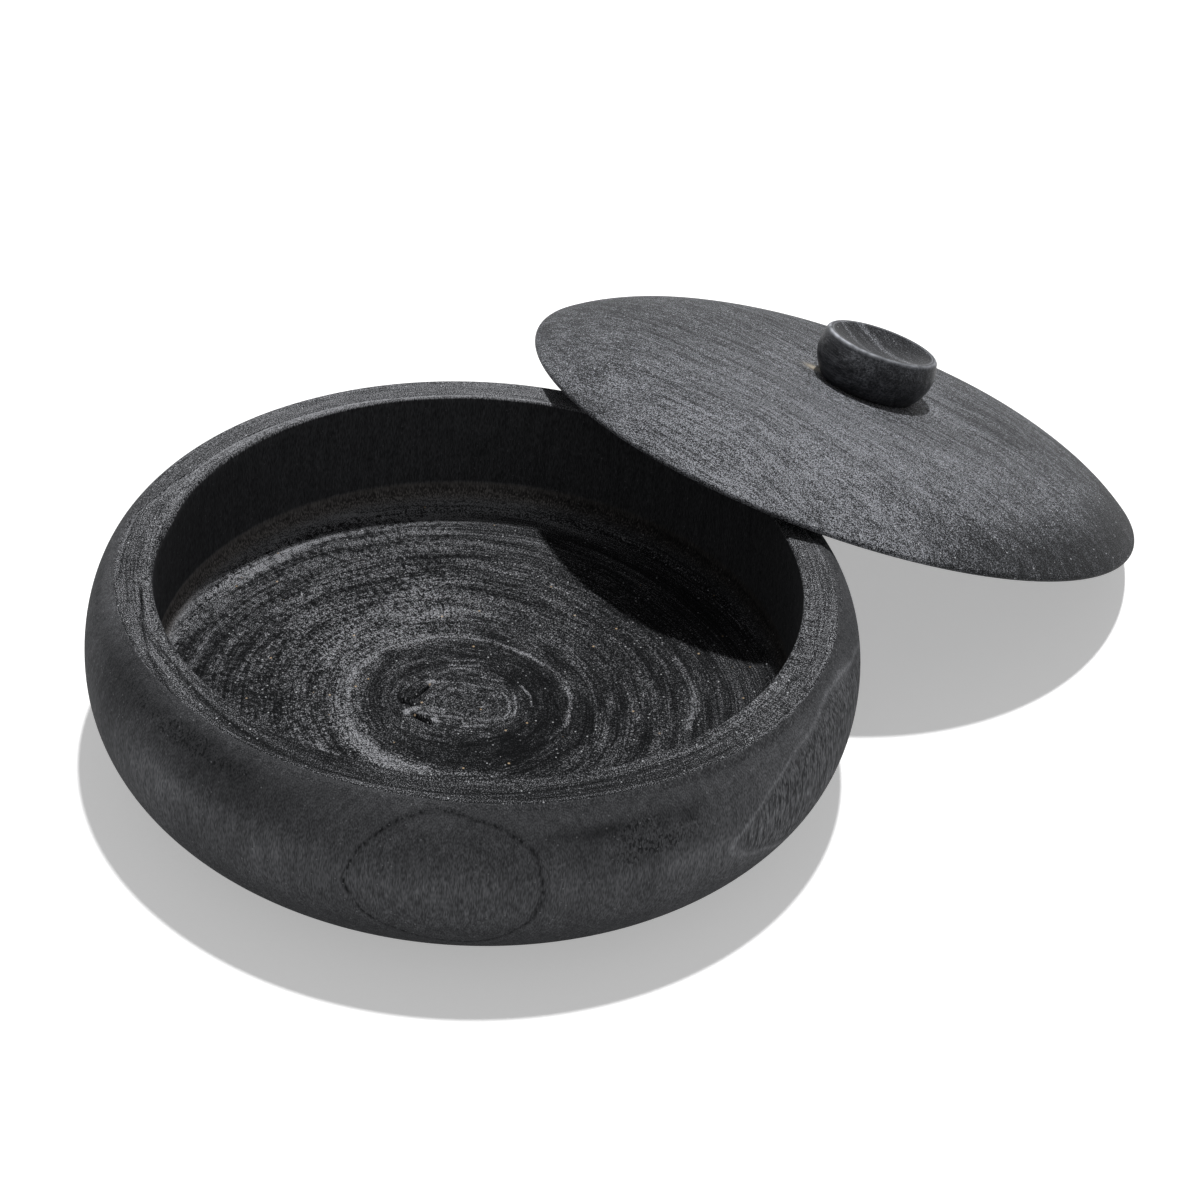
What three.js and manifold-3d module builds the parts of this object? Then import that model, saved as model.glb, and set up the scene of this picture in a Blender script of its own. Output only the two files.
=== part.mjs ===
// A turned wooden bowl with a domed lid that has been taken off and leans on the bowl's rim.
// Millimetres, +Z up. The origin is the centre of the bowl's flat foot, on the surface it stands on.

import * as THREE from 'three';
import { mergeVertices } from 'three/addons/utils/BufferGeometryUtils.js';
import Module from 'manifold-3d';

const wasm = await Module();
wasm.setup();

// Bowl, from the belly's widest line inwards and up
const BOWL_RADIUS = 140; // widest, at the belly
const BELLY_HEIGHT = 42.2; // of the widest line above the foot
const SHOULDER_HEIGHT = 32.4; // from the widest line up to the mouth
const SHOULDER_WIDTH = 12; // from the widest line in to the land's outer edge
const SHOULDER_CROWN = 3.3; // how far inside that edge the shoulder's curve would be level
const LAND_WIDTH = 12.2; // the nearly flat land that the lid closes on
const FOOT_INSET = 44.3; // from the widest line in to the flat foot
const LOWER_WALL_POWER = 2.2; // 2 is an ellipse, more is fuller
const FLOOR_THICKNESS = 24; // wood under the floor's edge
const FLOOR_DISH = 1.5; // how far the floor sinks towards its middle
const COVE_RADIUS = 10; // inside corner between wall and floor

// Lid
const LID_DOME = 20.45; // rise of the dome above the edge
const LID_EDGE = 3; // thickness of the rounded edge
const LID_DOME_POWER = 4.5; // how long the top stays flat before it falls to the edge
const LID_SEAT_WIDTH = 16; // flat ring that rests on the land
const LID_HOLLOW = 7; // depth of the shallow hollow underneath

// Knob and the dowel that holds it
const KNOB_FOOT_RADIUS = 19.4;
const KNOB_RADIUS = 24.4; // widest
const KNOB_RIM_RADIUS = 23.4;
const KNOB_HEIGHT = 19.5;
const KNOB_BELLY_HEIGHT = 11.8;
const KNOB_RIM_ROUND = 1.8; // rounding of the top rim
const KNOB_DISH = 3.6; // depth of the hollow in the top
const KNOB_OFF_DOWN = 2.7; // off the lid's centre, down the slope
const KNOB_OFF_SIDE = -4.3; // off the lid's centre, across the slope
const DOWEL_RADIUS = 5;
const DOWEL_IN_LID = 9;
const DOWEL_IN_KNOB = 9;

// Gaps between pieces
const SEAT_CLEARANCE = 0.35; // lid to rim where it leans
const FLOOR_CLEARANCE = 0.1; // lid's edge to the surface
const JOINT_CLEARANCE = 0.3; // knob to lid, dowel to its bores

// Where the lid lies
const LEAN_OUT = 78.9; // lid's centre beyond the land, seen from above
const LEAN_BEARING = 49.9; // direction of the lid's centre from the bowl's, degrees from +X
const SLOPE_BEARING = 45.9; // direction in which the lid slopes down

// Facets
const TURNED_SEGMENTS = 72;
const KNOB_SEGMENTS = 40;
const DOWEL_SEGMENTS = 20;

// What follows from the sizes above
const bowlHeight = BELLY_HEIGHT + SHOULDER_HEIGHT;
const landRadius = BOWL_RADIUS - SHOULDER_WIDTH;
const mouthRadius = landRadius - LAND_WIDTH;
const lidRadius = landRadius; // the lid closes flush with the land's outer edge
const lidHeight = LID_EDGE + LID_DOME;
const lidHollowRadius = lidRadius - LID_SEAT_WIDTH;
const lidShoulderRadius = lidRadius - LID_EDGE / 2;

const degrees = THREE.MathUtils.degToRad;
const steps = (count, point) => Array.from({ length: count + 1 }, (_, i) => point(i / count));

// A body of revolution about +Z from points (radius, height), from the bottom round to the top.
function turned(profile, segments) {
  const points = profile.map(([radius, height]) => new THREE.Vector2(radius, height));
  return new THREE.LatheGeometry(points, segments).rotateX(Math.PI / 2);
}

// A three.js mesh body as a manifold solid: shared vertices merged, slivers at the axis dropped.
function solidOf(geometry) {
  const bare = geometry.clone().deleteAttribute('normal').deleteAttribute('uv');
  const merged = mergeVertices(bare, 1e-4);
  const index = merged.index.array;
  const faces = [];
  for (let i = 0; i < index.length; i += 3) {
    const [a, b, c] = index.slice(i, i + 3);
    if (a !== b && b !== c && c !== a) faces.push(a, b, c);
  }
  const vertProperties = new Float32Array(merged.attributes.position.array);
  return new wasm.Manifold(new wasm.Mesh({ numProp: 3, vertProperties, triVerts: new Uint32Array(faces) }));
}

// A body with a round hole cut into it.
function bored(geometry, hole) {
  const mesh = solidOf(geometry).subtract(solidOf(hole)).getMesh();
  const result = new THREE.BufferGeometry();
  result.setAttribute('position', new THREE.BufferAttribute(new Float32Array(mesh.vertProperties), 3));
  result.setIndex(new THREE.BufferAttribute(new Uint32Array(mesh.triVerts), 1));
  result.computeVertexNormals();
  return result;
}

// A cylinder standing between two heights.
function standingCylinder(radius, low, high, x = 0, y = 0) {
  const cylinder = new THREE.CylinderGeometry(radius, radius, high - low, DOWEL_SEGMENTS);
  return cylinder.rotateX(Math.PI / 2).translate(x, y, (low + high) / 2);
}

// The belly below its widest line: a superellipse from the foot's edge up to the widest line.
function lowerWall() {
  const power = 2 / LOWER_WALL_POWER;
  return steps(9, (t) => {
    const angle = (t * Math.PI) / 2;
    const radius = BOWL_RADIUS - FOOT_INSET * (1 - Math.sin(angle) ** power);
    return [radius, BELLY_HEIGHT * (1 - Math.abs(Math.cos(angle)) ** power)];
  });
}

// The shoulder: part of a quarter ellipse from the widest line up to the land's outer edge.
function shoulder() {
  const width = SHOULDER_WIDTH + SHOULDER_CROWN;
  const last = Math.acos(SHOULDER_CROWN / width);
  return steps(7, (t) => {
    const radius = BOWL_RADIUS - width * (1 - Math.cos(t * last));
    return [radius, BELLY_HEIGHT + SHOULDER_HEIGHT * Math.sin(t * last)];
  });
}

// The inside: mouth edge, straight wall, cove and dished floor, down to the axis.
function bowlInside() {
  const floorRadius = mouthRadius - COVE_RADIUS;
  const cove = steps(5, (t) => {
    const angle = (t * Math.PI) / 2;
    return [
      floorRadius + COVE_RADIUS * Math.cos(angle),
      FLOOR_THICKNESS + COVE_RADIUS * (1 - Math.sin(angle)),
    ];
  });
  const floor = steps(4, (t) => [floorRadius * (1 - t), FLOOR_THICKNESS - FLOOR_DISH * (1 - (1 - t) ** 2)]);
  return [[mouthRadius, bowlHeight], ...cove, ...floor.slice(1)];
}

function bowlGeometry() {
  const profile = [[0, 0], ...lowerWall(), ...shoulder().slice(1), ...bowlInside()];
  return turned(profile, TURNED_SEGMENTS);
}

// Height of the lid's underside above its edge plane, at a distance from its axis.
function lidUnderside(radius) {
  if (radius < lidHollowRadius) return LID_HOLLOW * (1 - (radius / lidHollowRadius) ** 2);
  const past = Math.max(radius - lidShoulderRadius, 0);
  return LID_EDGE / 2 - Math.sqrt(Math.max((LID_EDGE / 2) ** 2 - past ** 2, 0));
}

// The lid's outline: hollow, seat, rounded edge, then the dome, which leaves the edge without a kink.
function lidGeometry(bore) {
  const edgeRound = LID_EDGE / 2;
  const edgeTurn = Math.PI / 2 - Math.atan((LID_DOME_POWER * LID_DOME) / lidShoulderRadius);
  const hollow = steps(5, (t) => [lidHollowRadius * t, lidUnderside(lidHollowRadius * t)]);
  hollow[hollow.length - 1][1] = 0;
  const edge = steps(5, (t) => {
    const angle = -Math.PI / 2 + t * (Math.PI / 2 + edgeTurn);
    return [lidShoulderRadius + edgeRound * Math.cos(angle), edgeRound * (1 + Math.sin(angle))];
  });
  const [domeRadius, domeStart] = edge[edge.length - 1];
  const dome = steps(9, (t) => {
    const share = Math.cos((t * Math.PI) / 2);
    return [domeRadius * share, domeStart + (lidHeight - domeStart) * (1 - share ** LID_DOME_POWER)];
  });
  dome[dome.length - 1] = [0, lidHeight];
  return bored(turned([...hollow, ...edge, ...dome.slice(1)], TURNED_SEGMENTS), bore);
}

// The knob: a low drum, rounded in to its foot, with a rounded rim and a dished top.
function knobGeometry(bore) {
  const sideTop = KNOB_HEIGHT - KNOB_RIM_ROUND;
  const lower = steps(5, (t) => [
    KNOB_RADIUS - (KNOB_RADIUS - KNOB_FOOT_RADIUS) * (1 - t) ** 2,
    KNOB_BELLY_HEIGHT * t,
  ]);
  const upper = steps(3, (t) => [
    KNOB_RADIUS - (KNOB_RADIUS - KNOB_RIM_RADIUS) * t ** 2,
    KNOB_BELLY_HEIGHT + (sideTop - KNOB_BELLY_HEIGHT) * t,
  ]);
  const rim = steps(4, (t) => {
    const angle = t * Math.PI * 0.6;
    return [
      KNOB_RIM_RADIUS - KNOB_RIM_ROUND + KNOB_RIM_ROUND * Math.cos(angle),
      sideTop + KNOB_RIM_ROUND * Math.sin(angle),
    ];
  });
  const [dishRadius, dishTop] = rim[rim.length - 1];
  const dish = steps(4, (t) => [dishRadius * (1 - t), dishTop - KNOB_DISH * (1 - (1 - t) ** 2)]);
  const profile = [[0, 0], ...lower, ...upper.slice(1), ...rim.slice(1), ...dish.slice(1)];
  return bored(turned(profile, KNOB_SEGMENTS), bore);
}

// Unit vectors of the leaning lid: down its slope, across it, and along its axis.
function lidAxes(tilt) {
  const turn = new THREE.Quaternion().setFromEuler(new THREE.Euler(0, tilt, degrees(SLOPE_BEARING), 'ZYX'));
  const along = (x, y, z) => new THREE.Vector3(x, y, z).applyQuaternion(turn);
  return { down: along(1, 0, 0), across: along(0, 1, 0), axis: along(0, 0, 1) };
}

// Centre of the lid's edge plane, with the lowest point of its rounded edge just off the surface.
function lidCentre(tilt) {
  const reach = landRadius + LEAN_OUT;
  const bearing = degrees(LEAN_BEARING);
  const edgeDrop = lidShoulderRadius * Math.sin(tilt) + (LID_EDGE / 2) * (1 - Math.cos(tilt));
  const height = FLOOR_CLEARANCE + edgeDrop;
  return new THREE.Vector3(reach * Math.cos(bearing), reach * Math.sin(bearing), height);
}

// Least distance from the bowl's rim to the lid's underside, measured along the lid's axis.
function leanClearance(tilt) {
  const { down, across, axis } = lidAxes(tilt);
  const centre = lidCentre(tilt);
  const rim = [[mouthRadius, bowlHeight], ...shoulder()];
  let least = Infinity;
  for (const [radius, height] of rim) {
    for (let turn = -90; turn <= 90; turn += 1) {
      const bearing = degrees(LEAN_BEARING + turn);
      const point = new THREE.Vector3(radius * Math.cos(bearing), radius * Math.sin(bearing), height);
      point.sub(centre);
      const fromAxis = Math.hypot(point.dot(down), point.dot(across));
      if (fromAxis < lidRadius) least = Math.min(least, lidUnderside(fromAxis) - point.dot(axis));
    }
  }
  return least;
}

// The tilt at which the lid's edge is on the surface and its underside is on the rim, by halving.
function leanTilt() {
  let low = 0;
  let high = Math.PI / 3;
  for (let i = 0; i < 40; i += 1) {
    const middle = (low + high) / 2;
    if (leanClearance(middle) < SEAT_CLEARANCE) low = middle;
    else high = middle;
  }
  return high;
}

function piece(name, geometry, colour, roughness) {
  const mesh = new THREE.Mesh(geometry, new THREE.MeshStandardMaterial({ color: colour, roughness, metalness: 0 }));
  mesh.name = name;
  return mesh;
}

const knobBase = lidHeight + JOINT_CLEARANCE;
const boreRadius = DOWEL_RADIUS + JOINT_CLEARANCE;
const dowelLow = lidHeight - DOWEL_IN_LID;
const dowelHigh = knobBase + DOWEL_IN_KNOB;

const bowl = piece('bowl', bowlGeometry(), 0x2c2c2e, 0.62);

const lidBore = standingCylinder(
  boreRadius,
  dowelLow - JOINT_CLEARANCE,
  lidHeight + DOWEL_RADIUS,
  KNOB_OFF_DOWN,
  KNOB_OFF_SIDE,
);
const lid = piece('lid', lidGeometry(lidBore), 0x39393b, 0.66);

const knobBore = standingCylinder(boreRadius, -DOWEL_RADIUS, DOWEL_IN_KNOB + JOINT_CLEARANCE);
const knob = piece('knob', knobGeometry(knobBore), 0x242426, 0.5);
knob.position.set(KNOB_OFF_DOWN, KNOB_OFF_SIDE, knobBase);

const dowel = piece('knob_dowel', standingCylinder(DOWEL_RADIUS, dowelLow, dowelHigh), 0xa9855c, 0.7);
dowel.position.set(KNOB_OFF_DOWN, KNOB_OFF_SIDE, 0);

const tilt = leanTilt();
const leaningLid = new THREE.Group();
leaningLid.add(lid, knob, dowel);
leaningLid.position.copy(lidCentre(tilt));
leaningLid.rotation.set(0, tilt, degrees(SLOPE_BEARING), 'ZYX');

const container = new THREE.Group();
container.add(bowl, leaningLid);

export default container;
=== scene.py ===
"""A low turned wooden bowl, stained black, with its domed lid leaning on the rim, dressed for rendering.

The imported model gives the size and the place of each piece. The surfaces here are finer ones in the same
places, in millimetres until they go into a mesh, and each carries attributes that its material reads.
"""

import logging
from dataclasses import dataclass
from enum import Enum, IntEnum

import bpy
import numpy as np
from mathutils import Matrix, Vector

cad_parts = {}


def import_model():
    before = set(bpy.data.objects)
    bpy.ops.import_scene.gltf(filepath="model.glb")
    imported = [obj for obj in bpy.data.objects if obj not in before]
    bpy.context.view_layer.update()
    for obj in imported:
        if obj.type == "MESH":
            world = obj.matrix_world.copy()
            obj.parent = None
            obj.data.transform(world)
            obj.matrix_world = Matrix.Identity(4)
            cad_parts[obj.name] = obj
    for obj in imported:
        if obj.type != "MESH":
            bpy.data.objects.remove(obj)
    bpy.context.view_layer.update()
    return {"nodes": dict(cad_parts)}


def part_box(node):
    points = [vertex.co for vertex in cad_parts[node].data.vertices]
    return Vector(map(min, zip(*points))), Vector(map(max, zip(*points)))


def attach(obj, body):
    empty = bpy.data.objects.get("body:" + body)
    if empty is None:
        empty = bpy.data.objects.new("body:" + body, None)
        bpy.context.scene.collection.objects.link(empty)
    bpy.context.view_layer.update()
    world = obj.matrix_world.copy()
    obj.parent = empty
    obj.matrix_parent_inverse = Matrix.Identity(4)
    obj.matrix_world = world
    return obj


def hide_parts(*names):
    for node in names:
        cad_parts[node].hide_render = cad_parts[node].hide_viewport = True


MM = 0.001
FULL_TURN = 2 * np.pi
Pairs = tuple[tuple[float, float], ...]
Colour = tuple[float, float, float, float]
Size = tuple[float, float, float]
Span = tuple[float, float]
Stripe = tuple[float, float, float]
Socket = bpy.types.NodeSocket
WHITE: Colour = (1.0, 1.0, 1.0, 1.0)


class Body(Enum):
    """The bodies of the model that pieces ride on."""

    BOWL = "bowl"
    LID = "lid"


class Slot(Enum):
    """The record's material slots."""

    BOWL = "bowl_wood"
    LID = "lid_wood"
    KNOB = "knob_wood"
    DOWEL = "dowel_wood"


class Channel(Enum):
    """What a mesh attribute holds: its Blender type and the name of its value."""

    NUMBER = ("FLOAT", "value")
    VECTOR = ("FLOAT_VECTOR", "vector")


class Section(IntEnum):
    """The parts of the bowl's section, in their order from the foot's centre out and round to the floor's."""

    FOOT = 0
    LOWER_WALL = 1
    SHOULDER = 2
    CROWN = 3
    QUIRK = 4
    LAND = 5
    LIP = 6
    WALL = 7
    COVE = 8
    FLOOR = 9


def linear(code: str) -> Colour:
    """Turns a written sRGB colour into the linear colour that a shader takes.

    Args:
        code: six hex digits, such as "1b1c1d".

    Returns:
        Red, green, blue and an alpha of 1.
    """
    parts = (int(code[i : i + 2], 16) / 255 for i in (0, 2, 4))
    red, green, blue = (c / 12.92 if c <= 0.04045 else ((c + 0.055) / 1.055) ** 2.4 for c in parts)
    return (red, green, blue, 1.0)


def smooth(low: float, high: float, x: np.ndarray) -> np.ndarray:
    """Rises from 0 at low to 1 at high along 3t squared less 2t cubed, and falls where low is above high."""
    t = np.clip((x - low) / (high - low), 0, 1)
    return t * t * (3 - 2 * t)


def bell(offset: np.ndarray, width: float) -> np.ndarray:
    """A bell curve, e to the minus square of offset by width: 1 in the middle and 0.37 at the width."""
    return np.exp(-((offset / width) ** 2))


def polar(points: np.ndarray, centre: Span = (0.0, 0.0)) -> tuple[np.ndarray, np.ndarray]:
    """Distance and direction in radians of each place from a centre, seen from above."""
    east, north = points[..., 0] - centre[0], points[..., 1] - centre[1]
    return np.hypot(east, north), np.arctan2(north, east)


def around(azimuth: np.ndarray, knots: Pairs) -> np.ndarray:
    """A value that runs round the axis through a few chosen places.

    Between two knots the value is eased by half a cosine wave, and the last knot runs on to the first.

    Args:
        azimuth: angles in radians.
        knots: pairs of degrees, in rising order, and value.

    Returns:
        The value at each angle.
    """
    degrees, values = np.array(knots, float).T
    degrees = np.append(degrees, degrees[0] + 360)
    values = np.append(values, values[0])
    place = (np.degrees(azimuth) - degrees[0]) % 360 + degrees[0]
    index = np.clip(np.searchsorted(degrees, place, side="right") - 1, 0, len(knots) - 1)
    share = (place - degrees[index]) / (degrees[index + 1] - degrees[index])
    eased = (1 - np.cos(np.pi * share)) / 2
    return values[index] + (values[index + 1] - values[index]) * eased


def wander(points: np.ndarray, length: float, seed: int, waves: int = 7) -> np.ndarray:
    """Slow unevenness, mostly between -1 and 1: the mean of sine waves that run in seeded directions.

    Args:
        points: places in millimetres, with their coordinates last.
        length: the usual wavelength in millimetres.
        seed: chooses the directions, wavelengths and phases.
        waves: how many waves are added.

    Returns:
        One number for each place.
    """
    random = np.random.default_rng(seed)
    headings = random.normal(size=(waves, points.shape[-1]))
    headings /= np.linalg.norm(headings, axis=1, keepdims=True)
    lengths = length * random.uniform(0.6, 1.6, waves)
    phases = random.uniform(0, FULL_TURN, waves)
    return np.sin(points @ (headings / lengths[:, None]).T * FULL_TURN + phases).sum(-1) / np.sqrt(waves)


def near_line(points: np.ndarray, corners: Pairs, width: float) -> np.ndarray:
    """How much of a thin line through some corners covers each place: 1 on it, fading to 0 at its width.

    Args:
        points: places in millimetres, of which the first two coordinates count.
        corners: the line's corners in the same coordinates.
        width: from the line's middle to where it ends, in millimetres.

    Returns:
        The cover from 0 to 1.
    """
    cover = np.zeros(points.shape[:-1])
    line = np.array(corners, float)
    for start, end in zip(line[:-1], line[1:]):
        along = end - start
        offset = points[..., :2] - start
        share = np.clip(offset @ along / (along @ along), 0, 1)
        distance = np.linalg.norm(offset - share[..., None] * along, axis=-1)
        cover = np.maximum(cover, smooth(width, 0, distance))
    return cover


def revolved(sections: list[tuple[np.ndarray, np.ndarray]], columns: int) -> np.ndarray:
    """Turns a section round the axis in equal steps.

    Args:
        sections: radius and height of its points, stretch by stretch.
        columns: how many steps make the full turn.

    Returns:
        The points, one row for each ring.
    """
    azimuth = np.linspace(0, FULL_TURN, columns, endpoint=False)
    radius = np.concatenate([r for r, _ in sections])[:, None]
    height = np.concatenate([z for _, z in sections])[:, None] + 0 * azimuth
    return np.stack([radius * np.cos(azimuth), radius * np.sin(azimuth), height], -1)


def plank_grain(points: np.ndarray, heading: float) -> tuple[np.ndarray, np.ndarray]:
    """Distance along and across a plank's grain, which runs in a heading given in degrees."""
    east, north = np.cos(np.radians(heading)), np.sin(np.radians(heading))
    return points[..., 0] * east + points[..., 1] * north, points[..., 1] * east - points[..., 0] * north


def turned_piece(name: str, rings: np.ndarray, channels: dict[str, np.ndarray]) -> bpy.types.Object:
    """Makes a closed mesh from rings of points round an axis, from one pole to the other.

    Each four neighbours make a face whose normal is the ring's direction crossed with the way from ring to
    ring, which points out when the rings start underneath. The first and last rings close in one point.

    Args:
        name: the piece's name.
        rings: points in millimetres, one row for each ring.
        channels: attribute name and one number or vector for each point.

    Returns:
        The new object, smooth shaded.
    """
    rows, columns = rings.shape[:2]

    def gather(values: np.ndarray) -> np.ndarray:
        """One row for each vertex, with a ring that closes in a pole given by its mean."""
        inner = values[1:-1].reshape(-1, *values.shape[2:])
        return np.concatenate([values[:1].mean(1), inner, values[-1:].mean(1)])

    vertices = gather(rings) * MM
    grid = np.arange((rows - 2) * columns).reshape(rows - 2, columns) + 1
    beside = np.roll(grid, -1, 1)
    quads = np.stack([grid[:-1], beside[:-1], beside[1:], grid[1:]], -1).reshape(-1, 4)
    last = len(vertices) - 1
    foot = np.stack([np.zeros(columns, int), beside[0], grid[0]], -1)
    top = np.stack([grid[-1], beside[-1], np.full(columns, last)], -1)
    corners = np.concatenate([quads.ravel(), foot.ravel(), top.ravel()])
    sizes = np.concatenate([np.full(len(quads), 4), np.full(2 * columns, 3)])
    mesh = bpy.data.meshes.new(name)
    mesh.vertices.add(len(vertices))
    mesh.vertices.foreach_set("co", vertices.ravel())
    mesh.loops.add(len(corners))
    mesh.loops.foreach_set("vertex_index", corners)
    mesh.polygons.add(len(sizes))
    mesh.polygons.foreach_set("loop_start", np.cumsum(sizes) - sizes)
    mesh.update(calc_edges=True)
    mesh.polygons.foreach_set("use_smooth", np.ones(len(sizes), bool))
    for label, values in channels.items():
        kind, key = (Channel.VECTOR if values.ndim == 3 else Channel.NUMBER).value
        attribute = mesh.attributes.new(label, kind, "POINT")
        attribute.data.foreach_set(key, gather(values).ravel().astype(np.float32))
    mesh.validate()
    piece = bpy.data.objects.new(name, mesh)
    bpy.context.scene.collection.objects.link(piece)
    return piece


def place(piece: bpy.types.Object, material: bpy.types.Material, body: Body, slot: Slot, node: str) -> None:
    """Dresses a piece, lets it ride on its body and puts it in the place of a node of the model.

    Args:
        piece: the finer piece.
        material: its wood.
        body: what it moves with.
        slot: not used.
        node: the model's node that it stands in for.
    """
    piece.data.materials.append(material)
    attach(piece, body.value)
    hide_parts(node)
    logging.info("%s: %d vertices, rides on %s", piece.name, len(piece.data.vertices), body.value)


@dataclass
class Recipe:
    """A material's node tree while it is put together."""

    tree: bpy.types.NodeTree

    def node(self, kind: str, links: dict | tuple = (), **settings) -> bpy.types.Node:
        """Adds one node with its settings and links.

        Args:
            kind: the node's type without the words ShaderNode.
            links: the sockets or values that go in, by the input's name or number, or in the inputs' order.
            settings: properties of the node itself.

        Returns:
            The new node.
        """
        node = self.tree.nodes.new("ShaderNode" + kind)
        for name, value in settings.items():
            setattr(node, name, value)
        for key, value in links.items() if isinstance(links, dict) else enumerate(links):
            if isinstance(value, bpy.types.NodeSocket):
                self.tree.links.new(value, node.inputs[key])
            else:
                node.inputs[key].default_value = value
        return node

    def swings(self, coords: Socket, size: Size, detail: float) -> Socket:
        """Smooth random levels about 0.5, with the length of one swing along each coordinate."""
        lengths = tuple(1 / length for length in size)
        spot = self.node("VectorMath", (coords, lengths), operation="MULTIPLY").outputs[0]
        return self.node("TexNoise", {"Vector": spot, "Scale": 1.0, "Detail": detail}).outputs["Fac"]

    def grain(self, coords: Socket, size: Size, low: float, high: float, detail: float = 2.0) -> Socket:
        """Unevenness that swings between two levels.

        Args:
            coords: where it is looked up, in millimetres or the like.
            size: the length of one swing along each coordinate.
            low: the level of its darkest places.
            high: the level of its palest ones.
            detail: how many finer swings are laid over it.

        Returns:
            The level.
        """
        return self.node("MapRange", (self.swings(coords, size, detail), 0.36, 0.64, low, high)).outputs[0]

    def specks(self, coords: Socket, size: Size) -> Socket:
        """Fine even dots from 0 to 1, all of one size and hardly clipped."""
        return self.node("MapRange", (self.swings(coords, size, 0.0), 0.28, 0.74, 0.0, 1.0)).outputs[0]

    def dusty(self, level: Socket, power: float, gain: float) -> Socket:
        """Makes even dots uneven, low in most places with narrow high ones: a power times a gain."""
        steep = self.node("Math", (level, power), operation="POWER").outputs[0]
        return self.node("Math", (steep, gain, 0.08), operation="MULTIPLY_ADD").outputs[0]

    def flecks(self, coords: Socket, density: float, near: Span, chosen: Span) -> Socket:
        """Single round grains, at most one in a cell.

        Args:
            coords: where they are looked up, in millimetres.
            density: cells in a millimetre.
            near: distances from the middle where a grain is fully there and where it ends, 1 being a cell.
            chosen: random numbers of a cell, from 0 to 1, at which its grain is missing and fully there.

        Returns:
            How much of a grain covers the place.
        """
        cells = self.node("TexVoronoi", {"Vector": coords, "Scale": density, "Randomness": 1.0}).outputs
        grain = self.node("MapRange", (cells["Distance"], *near, 0.8, 0.0)).outputs[0]
        present = self.node("MapRange", (cells["Color"], *chosen, 0.0, 1.0)).outputs[0]
        return self.product(grain, present)

    def sparkle(self, coords: Socket) -> Socket:
        """Grains of pale dust, some two millimetres apart and a third of a millimetre wide."""
        return self.flecks(coords, 0.45, (0.08, 0.17), (0.5, 0.8))

    def product(self, *levels: Socket | float) -> Socket:
        """Multiplies levels."""
        total = levels[0]
        for level in levels[1:]:
            total = self.node("Math", (total, level), operation="MULTIPLY").outputs[0]
        return total

    def coated(self, base: Colour, *coats: tuple[Socket, Socket | Colour]) -> Socket:
        """Lays colours over a base one after another.

        Args:
            base: the colour underneath.
            coats: how much each coat covers, from 0 to 1, and its colour.

        Returns:
            The colour.
        """
        colour = base
        for cover, coat in coats:
            inputs = {"Factor": cover, "A": colour, "B": coat}
            colour = self.node("Mix", inputs, data_type="RGBA").outputs["Result"]
        return colour

    def finish(self, surface: dict[str, Socket | float]) -> None:
        """Ends the material in one Principled shader with these inputs."""
        shader = self.node("BsdfPrincipled", surface)
        self.node("OutputMaterial", {"Surface": shader.outputs[0]})


def recipe(name: str) -> tuple[bpy.types.Material, Recipe]:
    """Starts a material with an empty node tree.

    Args:
        name: the material's name.

    Returns:
        The material and the recipe for its nodes.
    """
    material = bpy.data.materials.new(name)
    material.use_nodes = True
    material.node_tree.nodes.clear()
    return material, Recipe(material.node_tree)


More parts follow.
